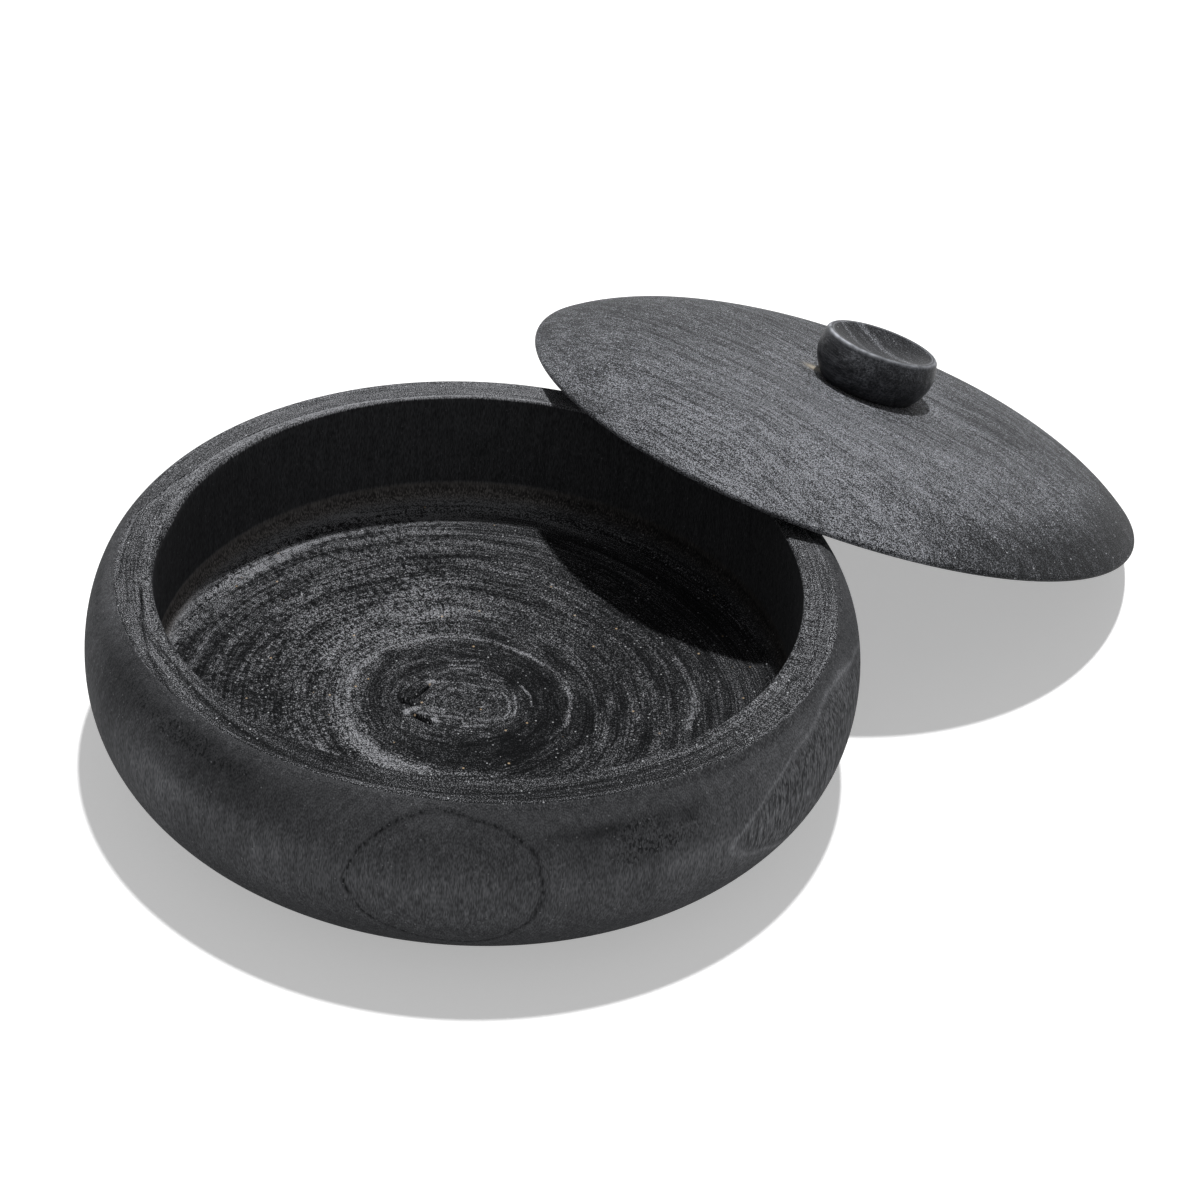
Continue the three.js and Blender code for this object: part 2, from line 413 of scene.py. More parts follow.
@dataclass(frozen=True)
class EndGrainFinish:
    """Open-grained hardwood turned on its end grain, stained black, rubbed back and left dry.

    The stain sinks into the pores, which look like dark dots on the level faces and like short upright
    strokes on the walls. Growth rings take it unevenly, so the floor shows pale and dark bands round the
    pith with hair lines between them, crossed by the rays. Dust stays in the grain as pale specks, single
    bright grains and a few tan flecks, and there is hardly any gloss.
    """

    ebony: str = "0e0f10"
    dust: str = "a3a4a8"
    warm: str = "958a7e"
    tan: str = "cdb391"
    sparkle: str = "e6e8ec"
    speck_mm: float = 0.38
    dot_mm: float = 0.55
    stroke_mm: float = 2.0
    line_mm: float = 0.65
    turned_mm: float = 0.8
    fleck_mm: float = 6.0
    roughness: float = 0.7
    specular: float = 0.02
    relief_mm: float = 0.06
    rings_reach: float = 120.0
    # Distance from the pith in millimetres and level, 0.5 being even.
    rings: Pairs = (
        *((0, 0.55), (11.5, 0.55), (16, 0.4), (20, 0.5), (21.5, 0.3), (24, 0.3), (27, 0.4), (30, 0.25)),
        *((38.8, 0.4), (40.3, 1.1), (42, 1.0), (43.5, 0.6), (48, 0.5), (53, 0.5), (56, 0.75), (58.5, 0.45)),
        *((72, 0.5), (82.5, 0.5), (84, 0.95), (85.5, 0.5), (92, 0.5), (97, 0.7), (104, 0.5), (108, 0.85)),
        (112, 0.7),
    )

    def material(self) -> bpy.types.Material:
        """Builds the material.

        Returns:
            The material, which reads the attributes layers, zones, eyes, tone, mark and warmth.
        """
        material, mix = recipe("ebonised_end_grain_wood")
        vectors = (mix.node("Attribute", attribute_name=name) for name in ("layers", "zones", "eyes"))
        layers, zones, eyes = (vector.outputs["Vector"] for vector in vectors)
        numbers = (mix.node("Attribute", attribute_name=name) for name in ("tone", "mark", "warmth"))
        tone, mark, warmth = (number.outputs["Fac"] for number in numbers)
        level, floor, rayed = mix.node("SeparateXYZ", (zones,)).outputs
        metres = mix.node("TexCoord").outputs["Object"]
        spot = mix.node("VectorMath", (metres, (1 / MM,) * 3), operation="MULTIPLY").outputs[0]
        specks = mix.specks(spot, (self.speck_mm, self.speck_mm, self.stroke_mm))
        even = mix.node("MapRange", (specks, 0.0, 1.0, 0.6, 1.4)).outputs[0]
        uneven = mix.dusty(specks, 3.6, 5.6)
        speckle = mix.node("Mix", {"Factor": level, "A": even, "B": uneven}).outputs[0]
        dots = mix.grain(spot, (self.dot_mm, self.dot_mm, 3.0), 0.6, 1.4, 0.0)
        dots = mix.node("Mix", {"Factor": level, "A": 1.0, "B": dots}).outputs[0]
        coarse = mix.grain(spot, (2.4, 2.4, 14.0), 0.87, 1.13, 3.0)
        turned = mix.grain(layers, (self.turned_mm, 0.16, 0.16), 0.5, 1.5)
        turned = mix.node("Mix", {"Factor": level, "A": 1.0, "B": turned}).outputs[0]
        rays = mix.grain(layers, (5.0, 0.009, 0.009), 0.45, 1.55, 1.0)
        rays = mix.node("Mix", {"Factor": rayed, "A": 1.0, "B": rays}).outputs[0]
        rings = self.floor_figure(mix, layers, rayed)
        figure = mix.node("Mix", {"Factor": floor, "A": mix.product(turned, rays), "B": rings}).outputs[0]
        belly = self.belly_figure(mix, spot, eyes)
        clean = mix.node("MapRange", (mark, 0.0, 1.0, 1.0, 0.0)).outputs[0]
        # The tone holds painted light and shade as well as dust, laid on as the pale coat.
        amount = mix.product(tone, figure, speckle, dots, coarse, belly, clean)
        dust = mix.coated(linear(self.dust), (warmth, linear(self.warm)))
        flecks = mix.product(mix.flecks(spot, 1 / self.fleck_mm, (0.05, 0.09), (0.65, 0.7)), floor)
        opened = mix.node("MapRange", (level, 0.0, 1.0, 0.2, 1.0)).outputs[0]
        bright = mix.product(mix.sparkle(spot), opened)
        coats = ((amount, dust), (flecks, linear(self.tan)), (bright, linear(self.sparkle)))
        wood = mix.coated(linear(self.ebony), *coats)
        bump = mix.node("Bump", {"Height": specks, "Strength": 1.0, "Distance": self.relief_mm * MM})
        surface = {
            "Base Color": wood,
            "Roughness": self.roughness,
            "IOR": 1.5,
            "Specular IOR Level": self.specular,
            "Normal": bump.outputs[0],
        }
        mix.finish(surface)
        return material

    def floor_figure(self, mix: Recipe, layers: Socket, rayed: Socket) -> Socket:
        """The floor's growth layers: broad rings, patches, hair lines, and short dashes along the rays.

        Args:
            mix: the material's recipe.
            layers: how the growth layers run.
            rayed: how much the rays show, from 0 to 1.

        Returns:
            The level, about 1 in the mean.
        """
        patches = mix.grain(layers, (4.5, 0.45, 0.45), 0.45, 1.6, 3.0)
        lines = mix.grain(layers, (self.line_mm, 0.3, 0.3), 0.4, 1.7, 1.0)
        dashes = mix.grain(layers, (2.2, 0.018, 0.018), 0.25, 1.85, 1.0)
        dashes = mix.node("Mix", {"Factor": rayed, "A": 1.0, "B": dashes}).outputs[0]
        distance = mix.node("SeparateXYZ", (layers,)).outputs["X"]
        share = mix.node("Math", (distance, self.rings_reach), operation="DIVIDE").outputs[0]
        rings = mix.node("ValToRGB", {"Fac": share})
        self.set_rings(rings.color_ramp)
        return mix.product(patches, lines, dashes, rings.outputs["Color"], 2.0)

    @staticmethod
    def belly_figure(mix: Recipe, spot: Socket, fields: Socket) -> Socket:
        """The belly's two eyes, one with a dark dashed outline and one with a pale outline, and its pits.

        Args:
            mix: the material's recipe.
            spot: places in millimetres.
            fields: how far a place is outside each eye in millimetres, and how thick pits lie there.

        Returns:
            The level, 1 where there is no figure.
        """
        first, second, pitted = mix.node("SeparateXYZ", (fields,)).outputs
        near_first, near_second = (
            mix.node("Math", (field,), operation="ABSOLUTE").outputs[0] for field in (first, second)
        )
        outline = mix.node("MapRange", (near_first, 0.1, 1.0, 1.0, 0.0)).outputs[0]
        dashed = mix.product(outline, mix.grain(spot, (1.0, 1.0, 2.2), 0.1, 1.0, 1.0))
        dark = mix.node("MapRange", (dashed, 0.0, 1.0, 1.0, 0.15)).outputs[0]
        pale = mix.node("MapRange", (near_second, 0.1, 1.2, 1.7, 1.0)).outputs[0]
        inside = mix.node("MapRange", (first, -4.0, -1.0, 1.0, 0.0)).outputs[0]
        streaks = mix.grain(spot, (0.9, 0.9, 5.0), 0.85, 1.16, 1.0)
        streaked = mix.node("Mix", {"Factor": inside, "A": 1.0, "B": streaks}).outputs[0]
        inside = mix.node("MapRange", (second, -3.0, -0.8, 1.0, 0.0)).outputs[0]
        hatching = mix.grain(spot, (0.9, 0.9, 6.0), 0.4, 1.4, 1.0)
        hatched = mix.node("Mix", {"Factor": inside, "A": 1.0, "B": hatching}).outputs[0]
        # A size of 900 mm along the other two fields leaves contours of one field alone.
        contours = (mix.grain(fields, size, 0.93, 1.07, 1.0) for size in ((1.5, 900, 900), (900, 1.9, 900)))
        holes = mix.specks(spot, (0.75, 0.75, 1.5))
        holes = mix.node("MapRange", (holes, 0.2, 0.34, 0.65, 0.0)).outputs[0]
        sound = mix.node("MapRange", (mix.product(holes, pitted), 0.0, 1.0, 1.0, 0.0)).outputs[0]
        return mix.product(dark, pale, streaked, hatched, *contours, sound)

    def set_rings(self, ramp: bpy.types.ColorRamp) -> None:
        """Sets the levels of the growth rings, each at its distance as a share of the rings' reach."""
        while len(ramp.elements) < len(self.rings):
            ramp.elements.new(1.0)
        for element, (distance, value) in zip(ramp.elements, self.rings):
            element.position = distance / self.rings_reach
            element.color = (value, value, value, 1.0)


@dataclass(frozen=True)
class PlankFinish:
    """Open-grained plank wood, stained black, sanded and left dry.

    The pores are short strokes along the grain with pale dust in them, and the growth layers are long soft
    streaks of lighter and darker stain.
    """

    name: str
    ebony: str = "0e0f10"
    dust: str = "a3a5ab"
    bare: str = "c4b9a4"
    sparkle: str = "e6e8ec"
    speck_mm: float = 0.34
    stroke_mm: float = 0.5
    pore_mm: float = 5.0
    roughness: float = 0.66
    specular: float = 0.1
    sheen: float = 0.03
    relief_mm: float = 0.05
    sparkles: float = 1.0

    def material(self) -> bpy.types.Material:
        """Builds the material.

        Returns:
            The material, which reads the attributes grain, tone, open, bare and mark.
        """
        material, mix = recipe(self.name)
        grain = mix.node("Attribute", attribute_name="grain").outputs["Vector"]
        numbers = (mix.node("Attribute", attribute_name=name) for name in ("tone", "open", "bare", "mark"))
        tone, open_grain, bare, mark = (number.outputs["Fac"] for number in numbers)
        specks = mix.specks(grain, (self.stroke_mm, self.speck_mm, self.speck_mm))
        even = mix.node("MapRange", (specks, 0.0, 1.0, 0.8, 1.2)).outputs[0]
        uneven = mix.dusty(specks, 2.7, 4.3)
        speckle = mix.node("Mix", {"Factor": open_grain, "A": even, "B": uneven}).outputs[0]
        streaks = mix.grain(grain, (80.0, 3.2, 3.2), 0.62, 1.38, 3.0)
        hairs = mix.grain(grain, (26.0, 0.9, 0.9), 0.6, 1.4, 1.0)
        clouds = mix.grain(grain, (40.0, 16.0, 16.0), 0.8, 1.2)
        pores = mix.specks(grain, (self.pore_mm, 0.55, 0.55))
        pores = mix.node("MapRange", (pores, 0.16, 0.36, 0.5, 1.03)).outputs[0]
        clean = mix.node("MapRange", (mark, 0.0, 1.0, 1.0, 0.0)).outputs[0]
        # The tone holds painted light and shade as well as dust, and bare the knob rim's painted highlight.
        amount = mix.product(tone, speckle, streaks, hairs, clouds, pores, clean)
        bright = mix.product(mix.sparkle(grain), open_grain, self.sparkles)
        coats = ((amount, linear(self.dust)), (bare, linear(self.bare)), (bright, linear(self.sparkle)))
        wood = mix.coated(linear(self.ebony), *coats)
        bump = mix.node("Bump", {"Height": specks, "Strength": 1.0, "Distance": self.relief_mm * MM})
        surface = {
            "Base Color": wood,
            "Roughness": self.roughness,
            "IOR": 1.5,
            "Specular IOR Level": self.specular,
            "Sheen Weight": self.sheen,
            "Sheen Roughness": 0.45,
            "Normal": bump.outputs[0],
        }
        mix.finish(surface)
        return material


@dataclass(frozen=True)
class Eye:
    """A closed figure where the belly cuts through a growth layer, in degrees and millimetres.

    Its outline is a superellipse with this power.
    """

    azimuth: float
    height: float
    half_width: float
    half_height: float
    power: float = 2.2


@dataclass(frozen=True)
class Place:
    """A place on the side of a turned piece with more or less of something, like a bell round and up.

    The side and the half width are in degrees, the height and the half height in millimetres.
    """

    side: float
    height: float
    half_width: float
    half_height: float
    strength: float = 1.0

    def change(self, points: np.ndarray) -> np.ndarray:
        """The strength in the middle of the place, fading out all round it."""
        degrees = np.degrees(polar(points)[1]) % 360
        along = bell(degrees - self.side, self.half_width)
        return self.strength * (along * bell(points[..., 2] - self.height, self.half_height))


@dataclass(frozen=True)
class Band:
    """Paler and darker lines that run round side by side, along a path that may wander.

    The tables share and path give a side in degrees, with the strength there and with the path's distance in
    millimetres. Each of the lines has its middle, counted from the path, its half width and its gain.
    """

    share: Pairs
    lines: tuple[Stripe, ...]
    path: Pairs = ((0, 0.0),)

    def change(self, distance: np.ndarray, azimuth: np.ndarray) -> np.ndarray:
        """The gain at each place, from the distance that the band is measured by and the side."""
        offset = distance - around(azimuth, self.path)
        lines = sum(gain * bell(offset - middle, width) for middle, width, gain in self.lines)
        return lines * around(azimuth, self.share)


@dataclass(frozen=True)
class Line:
    """A thin line on a face: its corners seen from above, half its width and how strongly it shows."""

    corners: Pairs
    width: float
    strength: float = 1.0

    def cover(self, points: np.ndarray) -> np.ndarray:
        """How much of the line lies on each place."""
        return near_line(points, self.corners, self.width) * self.strength


@dataclass(frozen=True)
class PithFigure:
    """What shows round the pith: an open crack with pale chips beside it, a long oval and short lines."""

    crack: tuple[Line, ...] = (
        Line(((-24.6, -13.5), (-20.1, -9.4), (-17.7, -5.6), (-15.3, -1.0)), 0.9),
        Line(((-19.0, -20.6), (-15.3, -22.9), (-11.7, -24.6)), 1.5),
        Line(((-25.1, -11.8), (-21.0, -14.1)), 1.3),
    )
    soft: tuple[Line, ...] = (
        Line(
            (
                *((-14.0, 0.1), (-7.0, 1.1), (0.1, 0.3), (7.3, -1.0), (11.6, -3.3), (13.8, -8.2)),
                *((14.2, -13.8), (12.8, -18.5), (5.2, -19.8), (-10.8, -19.4), (-19.2, -18.4)),
            ),
            0.9,
            0.42,
        ),
        Line(((-13.7, -2.7), (-6.7, -2.9), (0.5, -4.2), (6.1, -4.2), (10.4, -5.2)), 0.7, 0.2),
        Line(
            (
                *((-19.4, 26.9), (-8.0, 29.0), (5.0, 28.0), (19.9, 20.5), (29.0, 13.0), (34.3, 6.0)),
                *((36.3, -4.2), (35.7, -17.9), (30.0, -27.5)),
            ),
            1.2,
            0.3,
        ),
        Line(
            (
                *((-44.0, 2.0), (-47.2, -13.4), (-45.8, -22.3), (-42.8, -30.8), (-33.8, -42.8)),
                *((-26.3, -49.4), (-14.6, -51.1)),
            ),
            4.5,
            0.3,
        ),
        Line(((74.0, 26.0), (77.4, 18.2), (81.4, 5.6), (81.6, -6.3), (79.5, -16.0)), 1.7, 0.25),
        Line(((-29.5, -19.8), (-23.1, -27.9), (-10.8, -33.5), (-3.9, -34.2), (2.8, -31.6)), 2.0, 0.1),
    )
    sharp: tuple[Line, ...] = (
        Line(((-10.3, 13.7), (-1.1, 15.0)), 0.7, 0.7),
        Line(((-10.0, 10.9), (1.3, 12.1)), 0.7, 0.7),
        Line(((-9.2, 9.3), (-1.4, 9.7)), 0.7, 0.7),
        Line(((3.2, 5.4), (10.0, 4.0)), 0.7, 0.7),
        Line(((15.6, -4.5), (16.7, -10.1), (16.4, -15.8)), 0.7, 0.7),
        Line(((17.6, 2.1), (21.5, -3.7), (22.2, -9.4)), 0.7, 0.7),
        Line(((-1.9, -21.6), (-0.6, -24.3), (6.2, -22.8)), 0.7, 0.7),
        Line(((-16.7, -15.2), (-9.6, -17.0)), 3.0, 0.2),
        Line(((-22.6, -18.9), (-19.4, -16.1)), 1.6, 4.0),
        Line(((-15.7, -0.1), (-14.7, 0.4)), 1.6, 4.0),
        Line(((-11.9, -21.9), (-11.4, -24.0)), 1.6, 4.0),
    )

    def open_crack(self, points: np.ndarray) -> np.ndarray:
        """The crack, shaped like a V on its side, 1 where it is open and 0 beside it."""
        return np.clip(1.5 * np.max([line.cover(points) for line in self.crack], 0), 0, 1)

    def dust(self, points: np.ndarray) -> np.ndarray:
        """Pale dust in the lines: the sum of the soft ones, or a sharp one where that is more."""
        soft = sum(line.cover(points) for line in self.soft)
        return np.max([soft, *(line.cover(points) for line in self.sharp)], 0)


@dataclass(frozen=True)
class BowlDustAndPaintedLight:
    """How pale the bowl's grain is, by dust and by painted light and shade, and where the grain lies open.

    The amounts run from 0 to about 1. The tables give a side in degrees from +X and a value. Those of
    the floor go round the pith, and all others round the bowl's axis. A gain or loss changes an amount by
    its share, and a step gives the two heights or distances in millimetres between which a change sets in.
    Some tables paint light and shade into the amount, as their comments say.
    """

    belly: Pairs = ((0, 0.2), (180, 0.15), (205, 0.17), (225, 0.21), (250, 0.19), (290, 0.2), (320, 0.25))
    belly_heights: tuple[float, ...] = (0, 24, 36, 45, 53, 60, 66, 71)
    belly_shares: tuple[float, ...] = (0.6, 0.73, 1.12, 1.38, 1.25, 1.05, 0.9, 0.95)
    belly_places: tuple[Place, ...] = (
        Place(291.0, 64.5, 8.0, 2.4, -0.5),
        Place(305.0, 64.0, 3.5, 3.5, -0.3),
        Place(228.0, 68.5, 15.0, 3.5, -0.35),
        Place(306.0, 45.0, 3.5, 3.5, 0.3),
        Place(227.0, 50.0, 11.0, 4.5, 0.25),
        Place(344.0, 66.0, 4.0, 3.0, 0.35),
    )
    # Painted shade: the shoulder above the step darker on the front left, a little paler at 195 degrees.
    shoulder_painted_shade: Pairs = ((195, -0.2), (215, 0.2), (240, 0.25), (260, 0))
    shoulder_step: Span = (52, 62)
    # Partly dust, partly painted sheen: the crown paler at the back.
    crown: Pairs = (
        *((20, 0.17), (90, 0.48), (125, 0.41), (150, 0.28), (175, 0.22), (195, 0.25), (215, 0.15)),
        *((300, 0.16), (345, 0.17)),
    )
    crown_step: Span = (67, 72)
    # Partly dust, partly painted sheen: the land paler at the back and darker at the front.
    land: Pairs = (
        *((20, 0.21), (90, 0.52), (120, 0.54), (150, 0.42), (190, 0.19), (205, 0.19), (220, 0.155)),
        *((235, 0.12), (250, 0.08), (265, 0.095), (285, 0.085), (310, 0.12), (330, 0.19), (350, 0.19)),
    )
    # Counted from the mouth out.
    land_inner: Band = Band(
        ((20, 0.2), (150, 0.3), (200, 0.5), (232, -0.1), (249, -0.5), (262, 0.6), (340, 0.4)),
        ((2.5, 2.0, 1.0),),
    )
    # Counted from the axis.
    land_middle: Band = Band(
        ((20, 0), (180, -0.1), (210, 0.1), (240, -0.2), (290, -0.25), (340, 0.2)),
        ((122.8, 2.0, 1.0),),
    )
    # Counted from the land's outer edge in.
    land_outer: Band = Band(
        (
            *((20, 0.1), (180, 0.3), (210, 0.2), (235, -0.3), (264, 0.7), (282, -0.2), (310, -0.3)),
            (332, 0.4),
        ),
        ((2.0, 2.0, 1.0),),
    )
    # A pale line just inside the land's outer edge: partly wear, partly a painted highlight on the arris.
    land_edge_wear_and_highlight: Band = Band(((185, 0.8), (214, 0.2), (244, 0.2), (256, 0.8)), ((0.4, 0.45, 1.0),))
    # Painted shade: a dark line in the quirk just outside the land's edge, at the back.
    land_crease_painted_shade: Band = Band(((40, 0.3), (160, 0.5), (185, 0), (350, 0)), ((-0.5, 0.45, -1.0),))
    # Counted from the middle of the long groove out.
    groove_lines: Band = Band(
        ((185, 0), (198, 0.7), (206, 0), (240, 0), (262, 0.6), (330, 0.5), (345, 0)),
        ((1.4, 0.7, 0.85), (-1.5, 0.7, 0.6), (0.0, 0.55, -0.85)),
    )
    # Two growth layers that the land cuts on the left, counted from the pith.
    land_layers: tuple[Band, ...] = (
        Band(
            ((188, 0), (198, 1), (217, 1), (230, 0)),
            ((-2.2, 1.3, 0.45), (0.0, 0.65, -0.85), (2.4, 1.4, 0.35)),
            ((196, 115.5), (204, 116.6), (214, 118.6), (226, 119.5)),
        ),
        Band(
            ((204, 0), (213, 1), (232, 1), (264, 0)),
            ((-1.8, 1.2, 0.55), (0.0, 0.75, -0.8), (3.4, 1.2, 0.55)),
            ((208, 113.8), (216, 112.2), (228, 112.4), (240, 113.5)),
        ),
    )
    wall: Pairs = ((0, 0.09), (60, 0.17), (110, 0.25), (180, 0.17), (300, 0.1))
    wall_top_more: float = 0.1
    wall_top_step: Span = (68, 74)
    wall_top_sides: Span = (120, 160)
    # Painted light at the back and left, in the wall's shadow; painted shade of the lid on the right.
    cove: Pairs = (
        *((15, 0.16), (50, 0.2), (72, 0.35), (90, 1), (170, 1), (215, 0.4), (320, 0.3), (350, 0.17)),
    )
    # Painted light: the cove paler low down, from the upper to the lower level.
    cove_painted_light_levels: Span = (0.42, 0.68)
    cove_step: Span = (33, 27)
    # Where the cove meets the wall, by height: a pale line, darker on the right as painted shade of the lid.
    cove_line: Band = Band(
        ((15, 0.12), (60, 0.28), (85, 0.4), (170, 0.4), (215, 0.16), (320, 0.14)), ((33.5, 0.6, 1.0),)
    )
    # Partly the wood's own figure, partly painted shade: darker on the right and back right, under the lid.
    floor: Pairs = (
        *((0, 0.07), (40, 0.068), (80, 0.12), (110, 0.165), (140, 0.165), (180, 0.105), (210, 0.115)),
        *((240, 0.12), (290, 0.085)),
    )
    pith: float = 0.1
    pith_step: Span = (40, 12)
    ring: Pairs = (
        *((0, 0.4), (30, 1), (90, 0.7), (150, 1.35), (240, 1.6), (270, 1.1), (300, 0.35), (330, 0.3)),
    )
    ring_steps: tuple[Span, Span] = ((37, 40), (50, 44))
    floor_band: Band = Band(((80, 0), (110, 1), (150, 0.8), (175, 0), (300, 0)), ((56.0, 9.0, 1.0),))
    outer_loss: Pairs = ((0, 0.3), (190, 0.3), (240, 0.1))
    outer_step: Span = (66, 84)
    # Two dark knots on the floor, by their places and their half widths along X and Y.
    knots: Pairs = ((-84.4, -16.3), (-76.1, -18.7))
    knot_loss: float = 0.65
    knot_size: Span = (3.6, 5.5)
    dark_ring_loss: Pairs = ((30, 0.55), (90, 0.165), (200, 0), (270, 0.55))
    dark_ring_steps: tuple[Span, Span] = ((18, 24), (42, 36))
    # Painted light: the floor's edge at the back and back left paler, where the wall's shadow falls.
    floor_edge_painted_light: Pairs = ((50, 0), (80, 2.3), (135, 2.3), (165, 0.23), (185, 0))
    floor_edge_painted_light_step: Span = (101.5, 105)
    open_crown: Pairs = ((10, 0.3), (40, 0.8), (150, 0.8), (185, 0.1), (350, 0.1))
    open_land: Pairs = (
        *((20, 0.8), (90, 0.6), (140, 0.7), (170, 1), (195, 1), (235, 0.95), (300, 0.95), (345, 1)),
    )
    land_rays: Pairs = ((10, 0), (190, 0.5), (215, 0.2), (300, 0), (330, 1), (352, 1))

    def on_outside(self, points: np.ndarray) -> np.ndarray:
        """The belly by side and height with its places and painted shade, running into the crown near the
        top.

        Args:
            points: places in millimetres.

        Returns:
            The amount of dust, with painted shade and sheen.
        """
        height, azimuth = points[..., 2], polar(points)[1]
        belly = around(azimuth, self.belly) * np.interp(height, self.belly_heights, self.belly_shares)
        belly = belly * (1 - around(azimuth, self.shoulder_painted_shade) * smooth(*self.shoulder_step, height))
        belly = belly + (around(azimuth, self.crown) - belly) * smooth(*self.crown_step, height)
        places = sum(spot.change(points) for spot in self.belly_places)
        uneven = 0.07 * wander(points, 50, 71) + 0.05 * wander(points, 18, 72)
        return belly * (1 + places + uneven)

    def on_land(
        self,
        points: np.ndarray,
        from_mouth: np.ndarray,
        from_edge: np.ndarray,
        from_groove: np.ndarray,
        reach: np.ndarray,
    ) -> np.ndarray:
        """The land, in bands along its two edges and the turning tool's long groove, with painted sheen and
        shade.

        Args:
            points: places in millimetres.
            from_mouth: how far a place is outside the mouth.
            from_edge: how far it is inside the land's outer edge.
            from_groove: how far it is outside the middle of the long groove.
            reach: how far it is from the pith.

        Returns:
            The amount of dust, with painted sheen, highlight and shade.
        """
        radius, azimuth = polar(points)
        bands = self.land_inner.change(from_mouth, azimuth) + self.land_middle.change(radius, azimuth)
        bands = bands + self.land_outer.change(from_edge, azimuth) + self.land_edge_wear_and_highlight.change(from_edge, azimuth)
        crease = self.land_crease_painted_shade.change(from_edge, azimuth)
        lines = self.groove_lines.change(from_groove, azimuth)
        lines = lines + sum(layer.change(reach, azimuth) for layer in self.land_layers)
        return around(azimuth, self.land) * (1 + bands) * (1 + crease) * np.maximum(1 + lines, 0)

    def on_wall(self, points: np.ndarray) -> np.ndarray:
        """The upright wall inside, a little paler below the mouth on the left."""
        height, azimuth = points[..., 2], polar(points)[1]
        sides = smooth(*self.wall_top_sides, np.degrees(azimuth) % 360)
        return around(azimuth, self.wall) + self.wall_top_more * smooth(*self.wall_top_step, height) * sides

    def on_cove(self, points: np.ndarray) -> np.ndarray:
        """The cove with painted light and shade, and a pale line where it meets the wall.

        Args:
            points: places in millimetres.

        Returns:
            The amount of dust, with painted light and shade.
        """
        height, azimuth = points[..., 2], polar(points)[1]
        upper, lower = self.cove_painted_light_levels
        cove = (upper + (lower - upper) * smooth(*self.cove_step, height)) * around(azimuth, self.cove)
        return cove + self.cove_line.change(height, azimuth)

    def on_floor(self, points: np.ndarray, pith: Span) -> np.ndarray:
        """The floor, by its side of the pith and in broad rings round it, with two dark knots on the left.

        It has painted shade under the lid and painted light along its edge by the back wall.

        Args:
            points: places in millimetres.
            pith: where the growth layers have their centre.

        Returns:
            The amount of dust, with painted light and shade.
        """
        radius, azimuth = polar(points)
        reach, heading = polar(points, pith)
        floor = around(heading, self.floor)
        floor = floor + (self.pith - floor) * smooth(*self.pith_step, reach)
        steps = (self.ring_steps, self.dark_ring_steps)
        ring, dark_ring = (smooth(*start, reach) * smooth(*end, reach) for start, end in steps)
        floor = floor * (1 + (around(heading, self.ring) - 1) * ring)
        outer = around(heading, self.outer_loss) * smooth(*self.outer_step, reach)
        floor = floor * (1 + self.floor_band.change(reach, heading) - outer)
        for knot in self.knots:
            offset = points[..., :2] - knot
            across, along = (bell(offset[..., axis], self.knot_size[axis]) for axis in (0, 1))
            floor = floor * (1 - self.knot_loss * across * along)
        floor = floor * (1 - around(heading, self.dark_ring_loss) * dark_ring)
        # Painted light along the edge, in the wall's shadow.
        edge = around(azimuth, self.floor_edge_painted_light) * smooth(*self.floor_edge_painted_light_step, radius)
        return floor * (1 + edge)


